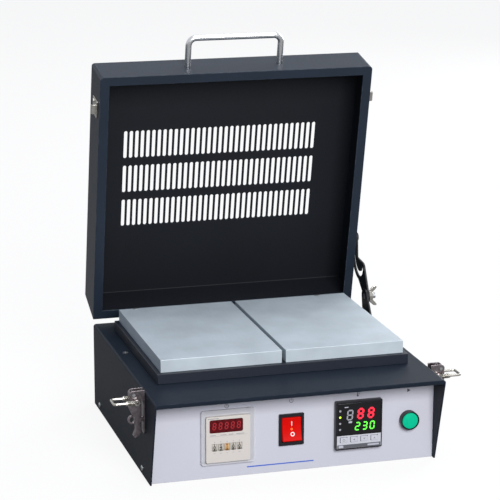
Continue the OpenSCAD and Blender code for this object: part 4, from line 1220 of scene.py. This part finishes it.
@dataclass
class DrawLatch:
    """A toggle latch on one side: base with padlock eye, lever, wire loop and its springs.

    Attributes:
        side: its side of the case.
        trunnion_out: distance of the loop's pivot from the wall.
        trunnion_z: Z of the pivot.
        loop_half: distance of each leg of the loop from the middle.
        barrel_r: radius of the barrel round the pivot.
        coil_r: radius of a spring.
        wire_r: radius of its wire.
        coil_l: length of a spring.
        turns: turns of a spring.
    """

    side: Side
    trunnion_out: float = 0.0085
    trunnion_z: float = 0.080
    loop_half: float = 0.008
    barrel_r: float = 0.0028
    coil_r: float = 0.00205
    wire_r: float = 0.0004
    coil_l: float = 0.007
    turns: float = 8.0

    def build(self) -> None:
        """Makes the latch's pieces."""
        word = self.side.word
        # the bases and levers take the darker nickel, a painted shade on the case's sides
        soften(f"latch_base_{word}", f"latch_{word}_base", NICKEL_SHADED, Edge.FINE)
        soften(f"latch_lever_{word}", f"latch_{word}_lever", NICKEL_SHADED, Edge.CRISP)
        dress(f"latch_loop_{word}", NICKEL)
        coils = []
        sign = self.side.value
        lie_along_x = Matrix.Rotation(math.radians(90 * sign), 4, "Y")
        sizes = {"turns": self.turns, "radius": self.coil_r, "length": self.coil_l, "wire": self.wire_r}
        start_x = sign * (WALL_X + self.trunnion_out + self.barrel_r)
        for t in (-1, 1):
            coil = Repeater(f"coil_{word}_{t}", sizes, helix_tree).make(SPRING)
            start = Vector((start_x, LATCH_Y + t * self.loop_half, self.trunnion_z))
            coils.append(moved(coil, Matrix.Translation(start) @ lie_along_x))
        springs = joined(f"latch_{word}_springs", coils)
        shade(springs.data, 60)
        settle(springs, SPRING, f"loop_{word}")
        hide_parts(f"latch_springs_{word}")


@dataclass
class LidStay:
    """The bracket, slotted arm, bolt, wing nut and rivet that hold the lid up."""

    def build(self) -> None:
        """Makes the stay's pieces."""
        soften("stay_bracket", "stay_plate", BLACK_OXIDE, Edge.FINE)
        soften("stay_arm", "stay_link", BLACK_OXIDE, Edge.FINE)
        soften("wing_nut", "stay_wing_nut", NICKEL, Edge.SHEET)
        dress("stay_bolt", STEEL)
        dress("stay_rivet", BLACK_OXIDE)


@dataclass
class Lid:
    """The slotted lid with its handle, keepers and hinges.

    Attributes:
        corner: Y and Z where the open lid's rim meets its hinge end.
        up: Y and Z of the direction from the hinge end to the free end.
        sheet: thickness of the sheet.
        half: half the width.
        height: length along up.
        depth: depth from the rim to the top.
        lean: how far the hinge end leans in over that depth.
    """

    corner: tuple[float, float] = (0.14478, 0.0931)
    up: tuple[float, float] = (-0.21132, 0.97742)
    sheet: float = 0.0015
    half: float = 0.1457
    height: float = 0.2767
    depth: float = 0.0443
    lean: float = 0.0075

    def _inside(self, p: Vector) -> bool:
        """Tells the open lid's inner faces from its outer ones.

        Args:
            p: middle of a face.

        Returns:
            Whether it is an inner face.
        """
        y, z = p.y - self.corner[0], p.z - self.corner[1]
        v = y * self.up[0] + z * self.up[1]
        w = y * self.up[1] - z * self.up[0]
        # an inner face lies most of a sheet's thickness in from the outside
        skin = self.sheet * 0.85
        low = skin + self.lean * w / self.depth
        return (self.sheet * 0.6 < w < self.depth - skin and low < v < self.height - skin
                and abs(p.x) < self.half - skin)

    def build(self) -> None:
        """Makes the lid's pieces."""
        pan = soften("lid_shell", "lid_pan", LID_COAT, Edge.SHEET)
        # the inner faces take the near-black coat, which paints the shade inside the lid
        pan.data.materials.append(INSIDE_SHADE_COAT.material())
        for face in pan.data.polygons:
            face.material_index = int(self._inside(face.center))
        dress("lid_handle", STAINLESS)
        soften("handle_nuts", "lid_handle_nuts", STEEL, Edge.FINE)
        soften("latch_keepers", "lid_keepers", NICKEL, Edge.FINE)
        soften("hinge_lid_leaves", "lid_hinge_leaves", BLACK_OXIDE, Edge.CRISP)
        soften("hinge_base_leaves", "case_hinge_leaves", BLACK_OXIDE, Edge.CRISP, split=True)
        dress("hinge_pins", STEEL)
        dress("latch_pins", STEEL)


# ---- studio


@dataclass
class Studio:
    """Floor, plain soft light and the camera.

    Attributes:
        azimuth: turn of the camera's gaze from +Y toward +X.
        elevation: how far it looks down.
        roll: turn about its gaze.
        target: the point it looks at.
        distance: how far it stands from that point.
        lens: focal length, millimetres.
        shift: shift of the picture across and up.
        aim: the point that the lamps face.
        floor_r: radius of the floor.
        floor_z: Z of the floor, just under the feet.
        floor_white: share of plain white in the floor as the camera sees it. The rest takes shadow.
        floor_mirrored: how far glossy surfaces mirror that floor.
        world_mirrored: how far they mirror the white surround.
    """

    azimuth: float = math.radians(16.2)
    elevation: float = math.radians(14.23)
    roll: float = math.radians(0.18)
    target: Vector = field(default_factory=lambda: Vector((-0.01253, -0.0125, 0.19561)))
    distance: float = 2.01395
    lens: float = 144.54
    shift: Point = (-0.0075, 0.00698)
    aim: tuple[float, float, float] = (0, 0, 0.15)
    floor_r: float = 12.0
    floor_z: float = -0.0002
    floor_white: float = 0.9
    floor_mirrored: float = 0.2
    world_mirrored: float = 0.7

    def build(self) -> None:
        """Sets up the studio."""
        self._camera()
        self._floor()
        self._world()
        self._lamp("front", (0.1, -2.5, 1.35), 1.2, 78)
        self._lamp("top", (0.3, 0.2, 2.2), 1.4, 18)
        self._lamp("back", (1.9, 1.6, 0.9), 1.3, 40)

    def _camera(self) -> None:
        """Places the camera."""
        az, el = self.azimuth, self.elevation
        ahead = Vector((math.sin(az) * math.cos(el), math.cos(az) * math.cos(el), -math.sin(el)))
        right = Vector((math.cos(az), -math.sin(az), 0))
        up = right.cross(ahead)
        tilted = right * math.cos(self.roll) + up * math.sin(self.roll)
        up = up * math.cos(self.roll) - right * math.sin(self.roll)
        data = bpy.data.cameras.new("camera")
        data.sensor_width = 36
        data.lens = self.lens
        data.shift_x, data.shift_y = self.shift
        data.clip_start, data.clip_end = 0.05, 50
        camera = link("camera", data)
        turn = Matrix((tilted, up, -ahead)).transposed().to_4x4()
        camera.matrix_world = Matrix.Translation(self.target - ahead * self.distance) @ turn
        bpy.context.scene.camera = camera

    def _floor(self) -> None:
        """Lays a wide pale floor that keeps the shadow."""
        bm = bmesh.new()
        bmesh.ops.create_circle(bm, cap_ends=True, segments=64, radius=self.floor_r)
        floor = moved(from_bmesh("floor", bm), Matrix.Translation((0, 0, self.floor_z)))
        made = bpy.data.materials.new("white studio floor")
        made.use_nodes = True
        tree = made.node_tree
        tree.nodes.clear()
        matt = add_node(tree, "ShaderNodeBsdfDiffuse", inputs={"Color": linear("7e7b78")})
        pale = add_node(tree, "ShaderNodeBsdfDiffuse", inputs={"Color": linear("f4f4f4")})
        white = add_node(tree, "ShaderNodeEmission", inputs={"Color": linear("ffffff"), "Strength": 1.0})
        shown = add_node(tree, "ShaderNodeMixShader", inputs={
            0: self.floor_white, 1: pale.outputs[0], 2: white.outputs[0]})
        mix = add_node(tree, "ShaderNodeMixShader", inputs={
            0: self._seen(tree, self.floor_mirrored), 1: matt.outputs[0], 2: shown.outputs[0]})
        add_node(tree, "ShaderNodeOutputMaterial", inputs={"Surface": mix.outputs[0]})
        floor.data.materials.append(made)

    def _seen(self, tree: Tree, mirrored: float) -> Socket:
        """How far a ray sees the white background: 1 from the camera or through glass.

        Args:
            tree: the shader's tree.
            mirrored: the share for a ray that a glossy surface reflects.

        Returns:
            The socket of that share.
        """
        path = add_node(tree, "ShaderNodeLightPath")
        glossy = add_node(tree, "ShaderNodeMath", {"operation": "MULTIPLY"}, {
            0: path.outputs["Is Glossy Ray"], 1: mirrored})
        through = add_node(tree, "ShaderNodeMath", {"operation": "MAXIMUM"}, {
            0: path.outputs["Is Transmission Ray"], 1: glossy.outputs[0]})
        return add_node(tree, "ShaderNodeMath", {"operation": "MAXIMUM"}, {
            0: path.outputs["Is Camera Ray"], 1: through.outputs[0]}).outputs[0]

    def _world(self) -> None:
        """Gives a white surround that lights the object softly."""
        world = bpy.data.worlds.new("studio")
        bpy.context.scene.world = world
        world.use_nodes = True
        tree = world.node_tree
        tree.nodes.clear()
        soft = add_node(tree, "ShaderNodeBackground", inputs={"Color": linear("738197"), "Strength": 1.0})
        white = add_node(tree, "ShaderNodeBackground", inputs={"Color": linear("ffffff"), "Strength": 1.0})
        mix = add_node(tree, "ShaderNodeMixShader", inputs={
            0: self._seen(tree, self.world_mirrored), 1: soft.outputs[0], 2: white.outputs[0]})
        add_node(tree, "ShaderNodeOutputWorld", inputs={"Surface": mix.outputs[0]})

    def _lamp(self, name: str, place: Sequence[float], size: float, power: float) -> None:
        """Adds a square soft lamp aimed at the oven.

        Args:
            name: the lamp's name.
            place: where it hangs, in metres.
            size: its width in metres.
            power: its power in watts.
        """
        data = bpy.data.lights.new(name, "AREA")
        data.size = size
        data.energy = power
        lamp = link(name, data)
        aim = Vector(self.aim) - Vector(place)
        lamp.matrix_world = Matrix.Translation(place) @ aim.to_track_quat("-Z", "Y").to_matrix().to_4x4()


def main() -> None:
    """Builds every sub-assembly in order."""
    logging.basicConfig(level=logging.INFO, format="%(name)s: %(message)s")
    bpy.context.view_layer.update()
    bpy.context.scene.view_settings.view_transform = "Standard"
    assemblies = (Casing(), HeatingBed(), Timer(), PowerSwitch(), Controller(), StartButton(), PanelPrint(),
                  DrawLatch(Side.LEFT), DrawLatch(Side.RIGHT), LidStay(), Lid(), Studio())
    for assembly in assemblies:
        assembly.build()
        log.info("%s built", type(assembly).__name__)


if __name__ == "__main__":
    main()
